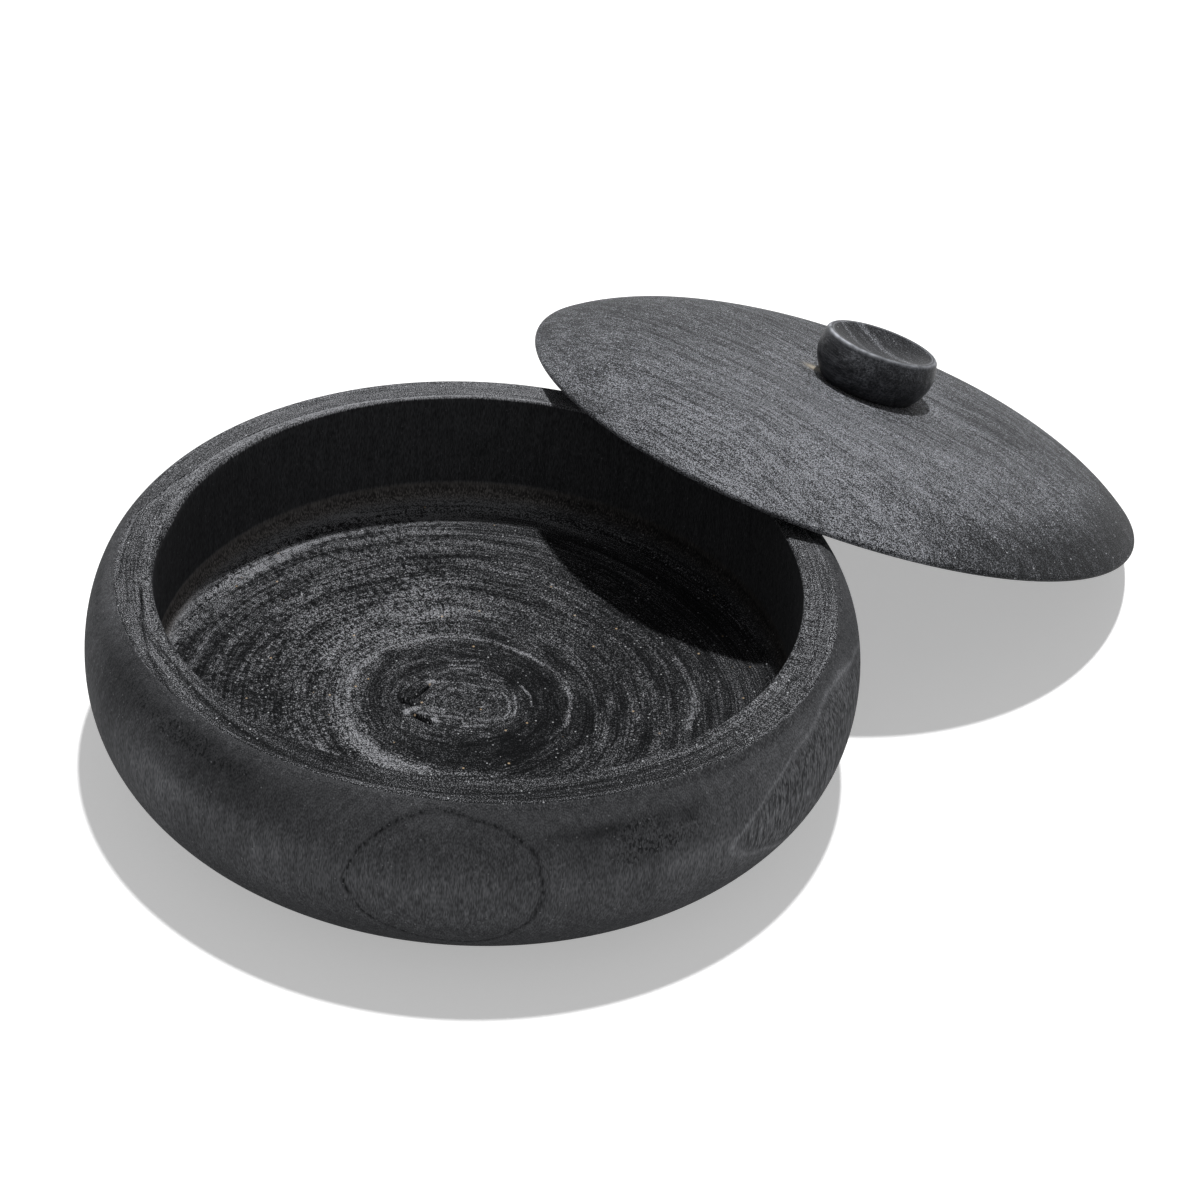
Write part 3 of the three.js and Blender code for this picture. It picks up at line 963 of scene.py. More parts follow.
@dataclass
class Bowl:
    """The bowl, a body of revolution with small unevenness from hand finishing. Sizes in millimetres."""

    radius: float
    height: float
    belly_height: float = 42.2
    shoulder_width: float = 12.0
    shoulder_crown: float = 3.3
    foot_inset: float = 44.3
    lower_wall_power: float = 2.2
    mouth_inset: float = 24.2
    land_slope: float = 0.06
    # The crown sets in at a share of the shoulder's width, or at least this far outside the land.
    crown_share: float = 0.62
    crown_least: float = 2.4
    crown_slope: float = 0.02
    # The crown ends below the land, and the quirk dips below that, each by a share of the quirk's depth.
    quirk_drop: float = 0.45
    quirk_dip: float = 0.75
    quirk_width: float = 0.9
    quirk_knots: Pairs = ((20, 0.3), (60, 0.6), (170, 0.6), (195, 0.12), (345, 0.12))
    floor_thickness: float = 24.0
    floor_dish: float = 1.5
    cove_radius: float = 10.0
    fine_radius: float = 42.0
    crack_depth: float = 2.0
    floor_step: Span = (28.5, 24.5)
    warm: float = 0.5
    warm_steps: tuple[Span, Span] = ((26, 30), (36, 34))
    columns: int = 264
    pith: Span = (-1.9, -10.8)
    lean: float = 0.065
    lean_heading: float = 200.0
    figure: PithFigure = PithFigure()
    dust: BowlDustAndPaintedLight = BowlDustAndPaintedLight()
    eyes: tuple[Eye, ...] = (Eye(270.4, 46.0, 32.0, 25.5), Eye(340.0, 43.5, 68.0, 26.0, 1.35))
    pits: tuple[Place, ...] = (Place(299.0, 59.0, 9.0, 9.0), Place(225.0, 67.5, 22.0, 4.5))
    land_knots: Pairs = (
        *((2, 127.6), (40, 122.0), (75, 116.8), (108, 116.6), (120, 118.0), (156, 119.8), (163, 122.9)),
        *((174, 127.6), (190, 128.0), (250, 126.4), (290, 128.2), (323, 129.8), (345, 129.0)),
    )
    long_groove: Pairs = (
        *((185, 118.0), (198, 120.0), (207, 122.3), (220, 123.3), (235, 125.0), (262, 124.5)),
        *((300, 122.2), (330, 122.4)),
    )
    long_groove_depth: Pairs = (
        *((180, 0), (198, 0.3), (212, 0.1), (232, 0.1), (262, 0.15), (300, 0.16), (330, 0.1), (350, 0)),
    )
    short_groove: Pairs = ((205, 119.2), (235, 119.9))
    short_groove_depth: Pairs = ((200, 0), (212, 0.25), (235, 0.22), (262, 0))
    inner_groove: Pairs = ((0, 118.6),)
    inner_groove_depth: Pairs = ((120, 0), (150, 0.08), (200, 0.1), (330, 0.08), (350, 0))
    mouth_round_knots: Pairs = ((60, 1.0), (120, 1.0), (155, 2.4), (178, 2.4), (200, 0.9), (300, 0.8))

    @classmethod
    def from_frame(cls) -> "Bowl":
        """Takes the bowl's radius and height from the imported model."""
        _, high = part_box("bowl")
        return cls(radius=high.x / MM, height=high.z / MM)

    def rings(self) -> tuple[np.ndarray, np.ndarray]:
        """Works out the surface.

        Radius and height are functions of the azimuth and of the way along the section, which runs from the
        foot's centre out and up the wall, over the land and down the inside to the floor's centre.

        Returns:
            The points, one row for each ring, and each row's place in the list of sections.
        """
        azimuth = np.linspace(0, FULL_TURN, self.columns, endpoint=False)
        sections = [self.foot(), self.lower_wall(), *self.top(azimuth), *self.inside(azimuth)]
        radius = np.concatenate([np.broadcast_to(r, (len(r), self.columns)) for r, _ in sections])
        height = np.concatenate([np.broadcast_to(z, (len(z), self.columns)) for _, z in sections])
        number = np.concatenate([np.full(len(r), i) for i, (r, _) in enumerate(sections)])
        points = np.stack([radius * np.cos(azimuth), radius * np.sin(azimuth), height], -1)
        return self.worn(points), number

    def foot(self) -> tuple[np.ndarray, np.ndarray]:
        """Radius and height of the flat foot, from its centre out."""
        r = np.linspace(0, self.radius - self.foot_inset, 14, endpoint=False)[:, None]
        return r, np.zeros_like(r)

    def lower_wall(self) -> tuple[np.ndarray, np.ndarray]:
        """The wall below the belly, a superellipse from the foot's edge up to the widest line.

        Returns:
            Radius and height.
        """
        angle = np.linspace(0, np.pi / 2, 40, endpoint=False)[:, None]
        power = 2 / self.lower_wall_power
        r = self.radius - self.foot_inset * (1 - np.sin(angle) ** power)
        return r, self.belly_height * (1 - np.cos(angle) ** power)

    def top(self, azimuth: np.ndarray) -> list[tuple[np.ndarray, np.ndarray]]:
        """The shoulder, the crown that runs in to the land's outer edge, and the land.

        The shoulder is part of a quarter ellipse. The crown is a quadratic curve that leaves the shoulder
        along its tangent and ends nearly level at a small quirk beside the land's edge. The land falls
        gently outwards, and its edge wanders, because the land was cut level and the crown was not.

        Args:
            azimuth: the columns' angles in radians.

        Returns:
            Radius and height of shoulder, crown, quirk, land and rounded lip.
        """
        mouth = self.mouth(azimuth)
        edge = around(azimuth, self.land_knots)
        edge_height = self.height - self.land_slope * (edge - mouth)
        width = self.shoulder_width + self.shoulder_crown
        rise = self.height - self.belly_height
        join_radius = np.maximum(self.radius - self.crown_share * width, edge + self.crown_least)
        last = np.arccos(1 - (self.radius - join_radius) / width)
        t = np.linspace(0, 1, 38, endpoint=False)[:, None]
        shoulder_r = self.radius - width * (1 - np.cos(t * last))
        shoulder_z = self.belly_height + rise * np.sin(t * last)
        join_height = self.belly_height + rise * np.sin(last)
        slope = rise * np.cos(last) / (width * np.sin(last))
        quirk_depth = around(azimuth, self.quirk_knots)
        start_r = edge + self.quirk_width
        start_z = edge_height - quirk_depth * self.quirk_drop
        middle_r = np.maximum(join_radius - (start_z - join_height) / slope, start_r + 0.3)
        middle_z = start_z - self.crown_slope * (middle_r - start_r)
        t = np.linspace(0, 1, 20, endpoint=False)[:, None]
        crown_r = (1 - t) ** 2 * join_radius + 2 * t * (1 - t) * middle_r + t**2 * start_r
        crown_z = (1 - t) ** 2 * join_height + 2 * t * (1 - t) * middle_z + t**2 * start_z
        t = np.linspace(0, 1, 6, endpoint=False)[:, None]
        quirk_r = start_r - self.quirk_width * t
        dip = np.sin(np.pi * np.clip(t * 1.25, 0, 1)) * quirk_depth * self.quirk_dip
        quirk_z = start_z + (edge_height - start_z) * t**2 - dip
        t = np.linspace(0, 1, 44, endpoint=False)[:, None]
        mouth_round = around(azimuth, self.mouth_round_knots)
        inner = mouth + mouth_round
        land_r = edge + (inner - edge) * t
        land_z = edge_height + (self.height - edge_height) * t - self.grooves(land_r, azimuth)
        turn = np.linspace(0, np.pi / 2, 6, endpoint=False)[:, None]
        round_r = inner - mouth_round * np.sin(turn)
        round_z = self.height - mouth_round * (1 - np.cos(turn))
        return [
            (shoulder_r, shoulder_z),
            (crown_r, crown_z),
            (quirk_r, quirk_z),
            (land_r, land_z),
            (round_r, round_z),
        ]

    def mouth(self, azimuth: np.ndarray) -> np.ndarray:
        """Radius of the mouth, a circle that is a little off centre, with a flat spot on the left."""
        flat_spot = 1.5 * bell(np.degrees(azimuth) - 172, 9)
        return self.radius - self.mouth_inset + 0.8 * np.cos(azimuth - np.radians(310)) - flat_spot

    def grooves(self, r: np.ndarray, azimuth: np.ndarray) -> np.ndarray:
        """Depth of the turning tool's rings in the land, rounded grooves that start and run out again.

        Args:
            r: distance from the axis.
            azimuth: the angle in radians.

        Returns:
            The depth in millimetres.
        """
        depth = 0 * r * azimuth
        for path, depths, half_width in (
            (self.long_groove, self.long_groove_depth, 0.5),
            (self.short_groove, self.short_groove_depth, 0.4),
            (self.inner_groove, self.inner_groove_depth, 0.4),
        ):
            depth = depth + around(azimuth, depths) * bell(r - around(azimuth, path), half_width)
        return depth

    def inside(self, azimuth: np.ndarray) -> list[tuple[np.ndarray, np.ndarray]]:
        """The upright wall, the cove in the corner, a quarter circle, and the floor, dished as a parabola.

        Args:
            azimuth: the columns' angles in radians.

        Returns:
            Radius and height of wall, cove and floor.
        """
        wall = self.radius - self.mouth_inset
        cove_centre = wall - self.cove_radius
        cove_top = self.floor_thickness + self.cove_radius
        t = np.linspace(0, 1, 26, endpoint=False)[:, None]
        wall_r = self.mouth(azimuth) * (1 - t) + wall * t
        wall_top = self.height - around(azimuth, self.mouth_round_knots)
        wall_z = wall_top + (cove_top - wall_top) * t
        turn = np.linspace(0, np.pi / 2, 14, endpoint=False)[:, None]
        cove_r = cove_centre + self.cove_radius * np.cos(turn)
        cove_z = cove_top - self.cove_radius * np.sin(turn)
        outer = np.linspace(cove_centre, self.fine_radius, 50, endpoint=False)
        floor_r = np.concatenate([outer, np.linspace(self.fine_radius, 0, 112)])[:, None]
        floor_z = self.floor_thickness - self.floor_dish * (1 - (floor_r / cove_centre) ** 2)
        return [(wall_r, wall_z), (cove_r, cove_z), (floor_r, floor_z)]

    def worn(self, points: np.ndarray) -> np.ndarray:
        """Moves the surface inwards by a fraction of a millimetre, unevenly, as sanding by hand leaves it.

        Args:
            points: the even surface.

        Returns:
            The uneven one.
        """
        radius, _ = polar(points)
        depth = 0.12 * (1 + wander(points, 70, 3) / 2)
        share = smooth(self.radius - 40, self.radius, radius) * smooth(2, 20, points[..., 2])
        scale = 1 - depth * share / np.maximum(radius, 1)
        return points * np.stack([scale, scale, np.ones_like(scale)], -1)

    def layers(self, points: np.ndarray) -> np.ndarray:
        """How the growth layers run: distance from the pith, made uneven, and the direction from the pith.

        Args:
            points: places in millimetres.

        Returns:
            The uneven distance in millimetres, then the cosine and the sine of the direction.
        """
        east = points[..., 0] - self.pith[0]
        north = points[..., 1] - self.pith[1]
        reach = np.maximum(np.hypot(east, north), 0.5)
        oval = 1 + 0.25 * smooth(38, 14, reach)
        lean_heading = np.radians(self.lean_heading)
        toward = (east * np.cos(lean_heading) + north * np.sin(lean_heading)) / reach
        leaning = 1 + self.lean * toward * smooth(15, 35, reach)
        distance = np.hypot(east / oval, north) / leaning
        calm = smooth(10, 60, distance)
        uneven = distance + calm * (1.2 * wander(points, 110, 11) + 0.5 * wander(points, 34, 12))
        return np.stack([uneven, east / reach, north / reach], -1)

    @staticmethod
    def turning(points: np.ndarray) -> np.ndarray:
        """How the turning tool went round: distance from the axis, and the direction's cosine and sine."""
        radius = np.maximum(np.hypot(points[..., 0], points[..., 1]), 0.5)
        return np.stack([radius, points[..., 0] / radius, points[..., 1] / radius], -1)

    def rayed(self, points: np.ndarray) -> np.ndarray:
        """Where the rays show: to the left and the back of the pith, away from it."""
        reach, heading = polar(points, self.pith)
        heading = np.degrees(heading) % 360
        return smooth(85, 105, heading) * smooth(235, 200, heading) * smooth(28, 45, reach)

    def eye_fields(self, points: np.ndarray) -> np.ndarray:
        """Fields on the belly.

        Args:
            points: places in millimetres.

        Returns:
            How far each place is outside the first and the second eye's outline, in millimetres, less than 0
            inside, and how thick open pores lie there, from 0 to 1.
        """
        radius, azimuth = polar(points)
        azimuth = np.degrees(azimuth) % 360
        fields = []
        for number, eye in enumerate(self.eyes):
            turned = (azimuth - eye.azimuth + 180) % 360 - 180
            across = np.abs(np.radians(turned) * self.radius) / eye.half_width
            up = np.abs(points[..., 2] - eye.height) / eye.half_height
            reach = (across**eye.power + up**eye.power) ** (1 / eye.power)
            uneven = 1.0 * wander(points, 38, 31 + number) + 0.4 * wander(points, 14, 33 + number)
            fields.append((reach - 1) * min(eye.half_width, eye.half_height) + uneven)
        inner = radius < self.radius - 11
        pits = sum(spot.change(points) for spot in self.pits)
        pitted = smooth(0.25, 0.9, pits * (1 + 0.4 * wander(points, 12, 35)))
        return np.stack([*(np.where(inner, 60.0, field) for field in fields), pitted], -1)

    def tones(self, points: np.ndarray, number: np.ndarray, on_floor: np.ndarray) -> np.ndarray:
        """How much pale dust, with painted light and shade, lies in the grain by part of the section and
        side.

        Args:
            points: places in millimetres.
            number: the section that each belongs to.
            on_floor: 1 on the floor and 0 above it.

        Returns:
            The amount of dust, with painted light and shade.
        """
        radius, azimuth = polar(points)
        from_mouth = radius - self.mouth(azimuth)
        from_edge = around(azimuth, self.land_knots) - radius
        from_groove = radius - around(azimuth, self.long_groove)
        reach = polar(points, self.pith)[0]
        land = self.dust.on_land(points, from_mouth, from_edge, from_groove, reach)
        parts = [number <= Section.CROWN, number <= Section.LIP, number == Section.WALL]
        choices = [self.dust.on_outside(points), land, self.dust.on_wall(points)]
        tone = np.select(parts, choices, self.dust.on_cove(points))
        floor = self.dust.on_floor(points, self.pith) - tone
        return tone + floor * on_floor + self.figure.dust(points) * on_floor

    def zones(self, points: np.ndarray, number: np.ndarray, on_floor: np.ndarray) -> np.ndarray:
        """Where the grain lies open, where the floor is, and where rays show.

        Args:
            points: places in millimetres.
            number: the section that each belongs to.
            on_floor: 1 on the floor and 0 above it.

        Returns:
            The three shares, each from 0 to 1.
        """
        azimuth = polar(points)[1]
        on_land = (number > Section.CROWN) & (number <= Section.LIP)
        on_cove = np.maximum(0.35 * smooth(34, 31, points[..., 2]), on_floor)
        parts = [number == Section.CROWN, on_land, number == Section.COVE]
        choices = [around(azimuth, self.dust.open_crown), around(azimuth, self.dust.open_land), on_cove]
        land_rays = around(azimuth, self.dust.land_rays) * (number == Section.LAND)
        rays = np.where(number >= Section.COVE, self.rayed(points) * on_floor, land_rays)
        return np.stack([np.select(parts, choices, on_floor), on_floor, rays], -1)

    def build(self, finish: EndGrainFinish) -> bpy.types.Object:
        """Makes the bowl and puts it in the model's place.

        Args:
            finish: the wood.

        Returns:
            The bowl.
        """
        points, section = self.rings()
        height = points[..., 2]
        number = np.broadcast_to(section[:, None], height.shape)
        inner = number >= Section.COVE
        on_floor = smooth(*self.floor_step, height) * inner
        warm_start, warm_end = self.warm_steps
        warm = self.warm * smooth(*warm_start, height) * smooth(*warm_end, height)
        crack = self.figure.open_crack(points) * on_floor
        zones = self.zones(points, number, on_floor)
        points = points - crack[..., None] * np.array([0, 0, self.crack_depth])
        channels = {
            "layers": np.where(inner[..., None], self.layers(points), self.turning(points)),
            "zones": zones,
            "tone": self.tones(points, number, on_floor),
            "eyes": self.eye_fields(points),
            "warmth": warm * inner,
            "mark": crack,
        }
        piece = turned_piece("turned_bowl", points, channels)
        place(piece, finish.material(), Body.BOWL, Slot.BOWL, "bowl")
        return piece


@dataclass(frozen=True)
class Lean:
    """How the lid lies: its own axes in the model's frame, and its edge plane's centre in millimetres."""

    centre: np.ndarray
    axes: np.ndarray

    @classmethod
    def from_dowel(cls, dowel_foot: float, off_down: float, off_side: float) -> "Lean":
        """Finds the lid's place from the dowel that stands square in it.

        The dowel's longest direction is the lid's axis. The lid slopes down where that axis leans to.

        Args:
            dowel_foot: height of the dowel's lower end above the lid's edge plane.
            off_down: the dowel's distance from the lid's axis, down the slope.
            off_side: the same across the slope.

        Returns:
            The lid's axes, down the slope, across it and along its axis, and its centre.
        """
        mesh = node_points("knob_dowel")
        middle = mesh.mean(0)
        axis = np.linalg.svd(mesh - middle)[2][0]
        axis = axis * np.sign(axis[2])
        down = np.array([axis[0], axis[1], 0.0])
        down -= axis * (down @ axis)
        down /= np.linalg.norm(down)
        across = np.cross(axis, down)
        half = np.abs((mesh - middle) @ axis).max()
        foot = middle - axis * half
        centre = foot - axis * dowel_foot - down * off_down - across * off_side
        return cls(centre, np.stack([down, across, axis]))

    def world(self, local: np.ndarray) -> np.ndarray:
        """Places points that are given in the lid's own frame."""
        return local @ self.axes + self.centre


def node_points(node: str) -> np.ndarray:
    """The separate corners of a node of the model.

    Args:
        node: its name.

    Returns:
        One row for each corner, in millimetres.
    """
    vertices = bpy.data.objects[node].data.vertices
    flat = np.empty(len(vertices) * 3, np.float32)
    vertices.foreach_get("co", flat)
    return np.unique(np.round(flat.reshape(-1, 3).astype(float) / MM, 3), axis=0)


@dataclass
class Lid:
    """The domed lid, turned from a plank, in its own frame: down the slope, across it and up its axis."""

    lean: Lean
    radius: float = 128.0
    edge: float = 3.0
    dome: float = 20.45
    dome_power: float = 4.5
    seat_width: float = 16.0
    hollow: float = 7.0
    columns: int = 288
    grain_heading: float = -82.0
    # Dust in the grain: its amount, and its shares in the middle and by side. The shares by side are partly
    # painted light, darker down the slope and paler up it. The edge's shares are painted shade on the
    # rounded edge, darkest from 250 to 320 degrees.
    dust: float = 0.43
    middle_share: float = 0.93
    side_dust_and_light_shares: Pairs = (
        *((0, 0.54), (60, 0.52), (120, 0.45), (150, 0.75), (180, 1.12), (225, 1.33), (275, 0.85)),
        (315, 0.46),
    )
    edge_painted_shade_shares: Pairs = (
        *((0, 0.75), (60, 0.8), (120, 0.95), (200, 1.0), (225, 0.8), (250, 0.25), (275, 0.15)),
        (320, 0.38),
    )
    patch_place: Span = (-8.6, 15.8)
    patch_size: Span = (2.6, 3.4)
    patch_bare: float = 0.75
    upper_crack: Line = Line(((2.5, 43.9), (5.2, 34.8), (3.5, 22.1)), 0.7, 0.8)
    lower_crack: Line = Line(((20.8, -32.4), (25.0, -45.9), (25.1, -64.8)), 0.6, 0.8)
    crack_depth: float = 0.35

    def rings(self) -> np.ndarray:
        """Works out the surface in the lid's frame, from the middle of the hollow round to the top.

        The hollow is a parabola, the seat is flat, the edge is part of a circle, and the dome falls from the
        top by the radius to a power, so that it stays flat for long and meets the edge without a kink.

        Returns:
            The points, one row for each ring.
        """
        edge_round = self.edge / 2
        shoulder = self.radius - edge_round
        hollow_radius = self.radius - self.seat_width
        t = np.linspace(0, 1, 46, endpoint=False)
        sections = [(hollow_radius * t, self.hollow * (1 - t**2))]
        t = np.linspace(0, 1, 10, endpoint=False)
        sections.append((hollow_radius + (shoulder - hollow_radius) * t, 0 * t))
        turn = np.pi / 2 - np.arctan(self.dome_power * self.dome / shoulder)
        angle = -np.pi / 2 + np.linspace(0, 1, 14, endpoint=False) * (np.pi / 2 + turn)
        sections.append((shoulder + edge_round * np.cos(angle), edge_round * (1 + np.sin(angle))))
        dome_radius = shoulder + edge_round * np.cos(turn)
        dome_start = edge_round * (1 + np.sin(turn))
        share = np.cos(np.linspace(0, np.pi / 2, 150)) ** 0.9
        rise = self.edge + self.dome - dome_start
        sections.append((dome_radius * share, dome_start + rise * (1 - share**self.dome_power)))
        points = revolved(sections, self.columns)
        sunk = 0.12 * (1 + wander(points, 60, 41) / 2) * smooth(4, 14, points[..., 2])
        return points - sunk[..., None] * np.array([0, 0, 1.0])

    def marks(self, points: np.ndarray) -> np.ndarray:
        """Fine drying cracks along the grain beside the knob, most where they are open."""
        cracks = np.maximum(self.upper_crack.cover(points), self.lower_crack.cover(points))
        return cracks * (points[..., 2] > self.dome / 2)

    def tones(self, points: np.ndarray) -> np.ndarray:
        """The dust and painted light by side away from the middle, and painted shade darkening it near the
        edge.

        Args:
            points: places in the lid's frame.

        Returns:
            The amount of dust, with painted light and shade.
        """
        radius, turn = polar(points)
        by_side = around(turn, self.side_dust_and_light_shares) - self.middle_share
        tone = self.dust * (self.middle_share + by_side * smooth(20, 70, radius))
        return tone * (1 + (around(turn, self.edge_painted_shade_shares) - 1) * smooth(94, 121, radius))

    def bare_patch(self, points: np.ndarray) -> np.ndarray:
        """The tan patch at the knob's foot that glue kept free of stain."""
        offset = points[..., :2] - self.patch_place
        patch = bell(offset[..., 0], self.patch_size[0]) * bell(offset[..., 1], self.patch_size[1])
        return self.patch_bare * patch * (points[..., 2] > self.dome)

    def build(self, finish: PlankFinish) -> bpy.types.Object:
        """Makes the lid and puts it in the model's place.

        Args:
            finish: the wood.

        Returns:
            The lid.
        """
        points = self.rings()
        along, across = plank_grain(points, self.grain_heading)
        across = across + 1.8 * wander(points[..., :2], 80, 61) + 0.5 * wander(points[..., :2], 26, 62)
        marks = self.marks(points)
        channels = {
            "grain": np.stack([along, across, points[..., 2]], -1),
            "tone": self.tones(points),
            "open": np.ones(along.shape),
            "bare": self.bare_patch(points),
            "mark": marks,
        }
        local = points - marks[..., None] * np.array([0, 0, self.crack_depth])
        piece = turned_piece("domed_lid", self.lean.world(local), channels)
        place(piece, finish.material(), Body.LID, Slot.LID, "lid")
        return piece


@dataclass
class Knob:
    """The drum knob with a dished top, in the lid's frame."""

    lean: Lean
    base: float = 23.75
    off_down: float = 2.7
    off_side: float = -4.3
    foot_radius: float = 19.4
    radius: float = 24.4
    rim_radius: float = 23.4
    height: float = 19.5
    belly_height: float = 11.8
    rim_round: float = 1.8
    dish: float = 3.6
    rim_turn: float = 0.6 * np.pi
    columns: int = 160
    grain_heading: float = -106.0
    # How bare the rim is by side: partly rubbed wear, partly a painted highlight, brightest at 155 degrees.
    rim_wear_and_highlight_shares: Pairs = (
        *((30, 0.108), (100, 0.27), (155, 0.9), (185, 0.72), (225, 0.36), (285, 0.315), (325, 0.45)),
    )
    # Dust on the side from the foot up, the lower level being painted shade towards the foot.
    side_dust_and_foot_shade: Span = (0.091, 0.147)
    # Painted highlights: two glints on the side, the stronger at 306 degrees.
    side_painted_glints: tuple[Place, ...] = (
        Place(306.0, 11.5, 13.0, 5.5, 1.5),
        Place(195.0, 11.0, 28.0, 4.5, 0.6),
    )
    # Dust in the dish, and its streaks: distance across the grain, half width and amount.
    dish_dust: float = 0.07
    dish_streaks: tuple[Stripe, ...] = ((-8.2, 1.0, 0.36), (3.4, 1.6, 0.324))
    side_open: float = 0.12

    def rings(self) -> np.ndarray:
        """Works out the surface in the knob's frame, from the foot's centre round to the dish's centre.

        The side swells as a parabola up to the widest line and draws in as another above it, the rim is part
        of a circle, and the dish is a parabola.

        Returns:
            The points, one row for each ring.
        """
        side_top = self.height - self.rim_round
        t = np.linspace(0, 1, 10, endpoint=False)
        sections = [(self.foot_radius * t, 0 * t)]
        t = np.linspace(0, 1, 24, endpoint=False)
        lower = self.radius - (self.radius - self.foot_radius) * (1 - t) ** 2
        sections.append((lower, self.belly_height * t))
        t = np.linspace(0, 1, 14, endpoint=False)
        upper = self.radius - (self.radius - self.rim_radius) * t**2
        sections.append((upper, self.belly_height + (side_top - self.belly_height) * t))
        angle = np.linspace(0, self.rim_turn, 16, endpoint=False)
        rim = self.rim_radius - self.rim_round
        sections.append((rim + self.rim_round * np.cos(angle), side_top + self.rim_round * np.sin(angle)))
        dish_radius = rim + self.rim_round * np.cos(self.rim_turn)
        dish_top = side_top + self.rim_round * np.sin(self.rim_turn)
        t = np.linspace(0, 1, 40)
        sections.append((dish_radius * (1 - t), dish_top - self.dish * (1 - (1 - t) ** 2)))
        return revolved(sections, self.columns)

    def rubbed(self, points: np.ndarray) -> np.ndarray:
        """Rubbed wear and painted highlight on the rim: a broken pale line on it, and a thin even one inside
        it.

        Args:
            points: places in the knob's frame.

        Returns:
            The share of bare wood and painted highlight.
        """
        radius, turn = polar(points)
        inside_rim = self.rim_radius - radius
        share = around(turn, self.rim_wear_and_highlight_shares) * (1 + 0.35 * wander(points, 5, 51))
        return bell(inside_rim - 1.0, 0.6) * share + 0.3 * bell(inside_rim - 2.4, 0.3)

    def tones(self, points: np.ndarray, across: np.ndarray, in_dish: np.ndarray) -> np.ndarray:
        """The dust: on the side painted shade towards the foot and two painted glints, and in the dish two
        streaks.

        Args:
            points: places in the knob's frame.
            across: their distance across the grain.
            in_dish: 1 in the dish and 0 on the side.

        Returns:
            The amount of dust, with painted light and shade.
        """
        low, high = self.side_dust_and_foot_shade
        side = low + (high - low) * smooth(2, 9, points[..., 2])
        side = side * (1 + sum(spot.change(points) for spot in self.side_painted_glints))
        bent = across + 0.5 * wander(points, 16, 52)
        streaks = sum(amount * bell(bent - middle, width) for middle, width, amount in self.dish_streaks)
        return side * (1 - in_dish) + (self.dish_dust + streaks) * in_dish

    def build(self, finish: PlankFinish) -> bpy.types.Object:
        """Makes the knob and puts it in the model's place.

        Args:
            finish: the wood.

        Returns:
            The knob.
        """
        points = self.rings()
        along, across = plank_grain(points, self.grain_heading)
        upper = points[..., 2] > self.height / 2
        in_dish = smooth(self.rim_radius - 0.5, self.rim_radius - 2.5, polar(points)[0]) * upper
        channels = {
            "grain": np.stack([along, across, points[..., 2]], -1),
            "tone": self.tones(points, across, in_dish),
            "open": self.side_open + (1 - self.side_open) * in_dish,
            # bare also carries the rim's painted highlight.
            "bare": self.rubbed(points) * upper,
            "mark": np.zeros(along.shape),
        }
        local = points + np.array([self.off_down, self.off_side, self.base])
        piece = turned_piece("drum_knob", self.lean.world(local), channels)
        place(piece, finish.material(), Body.LID, Slot.KNOB, "knob")
        return piece


@dataclass(frozen=True)
class BareDowelFinish:
    """Beech dowel as it is bought: planed, bare and pale, with fine flecks along it."""

    light: str = "b89468"
    dark: str = "97754c"

    def dress(self, node: bpy.types.Object) -> None:
        """Gives the model's own dowel this wood in place of its plain colour.

        Args:
            node: the dowel.
        """
        material, mix = recipe("bare_beech_dowel")
        coords = mix.node("TexCoord").outputs["Object"]
        cloud = mix.node("TexNoise", {"Vector": coords, "Scale": 900.0, "Detail": 3.0}).outputs["Fac"]
        wood = mix.coated(linear(self.light), (cloud, linear(self.dark)))
        bump = mix.node("Bump", {"Height": cloud, "Strength": 0.4, "Distance": 0.05 * MM})
        surface = {"Base Color": wood, "Roughness": 0.7, "Normal": bump.outputs[0]}
        mix.finish(surface)
        node.data.materials.clear()
        node.data.materials.append(material)
        logging.info("%s: dressed", node.name)


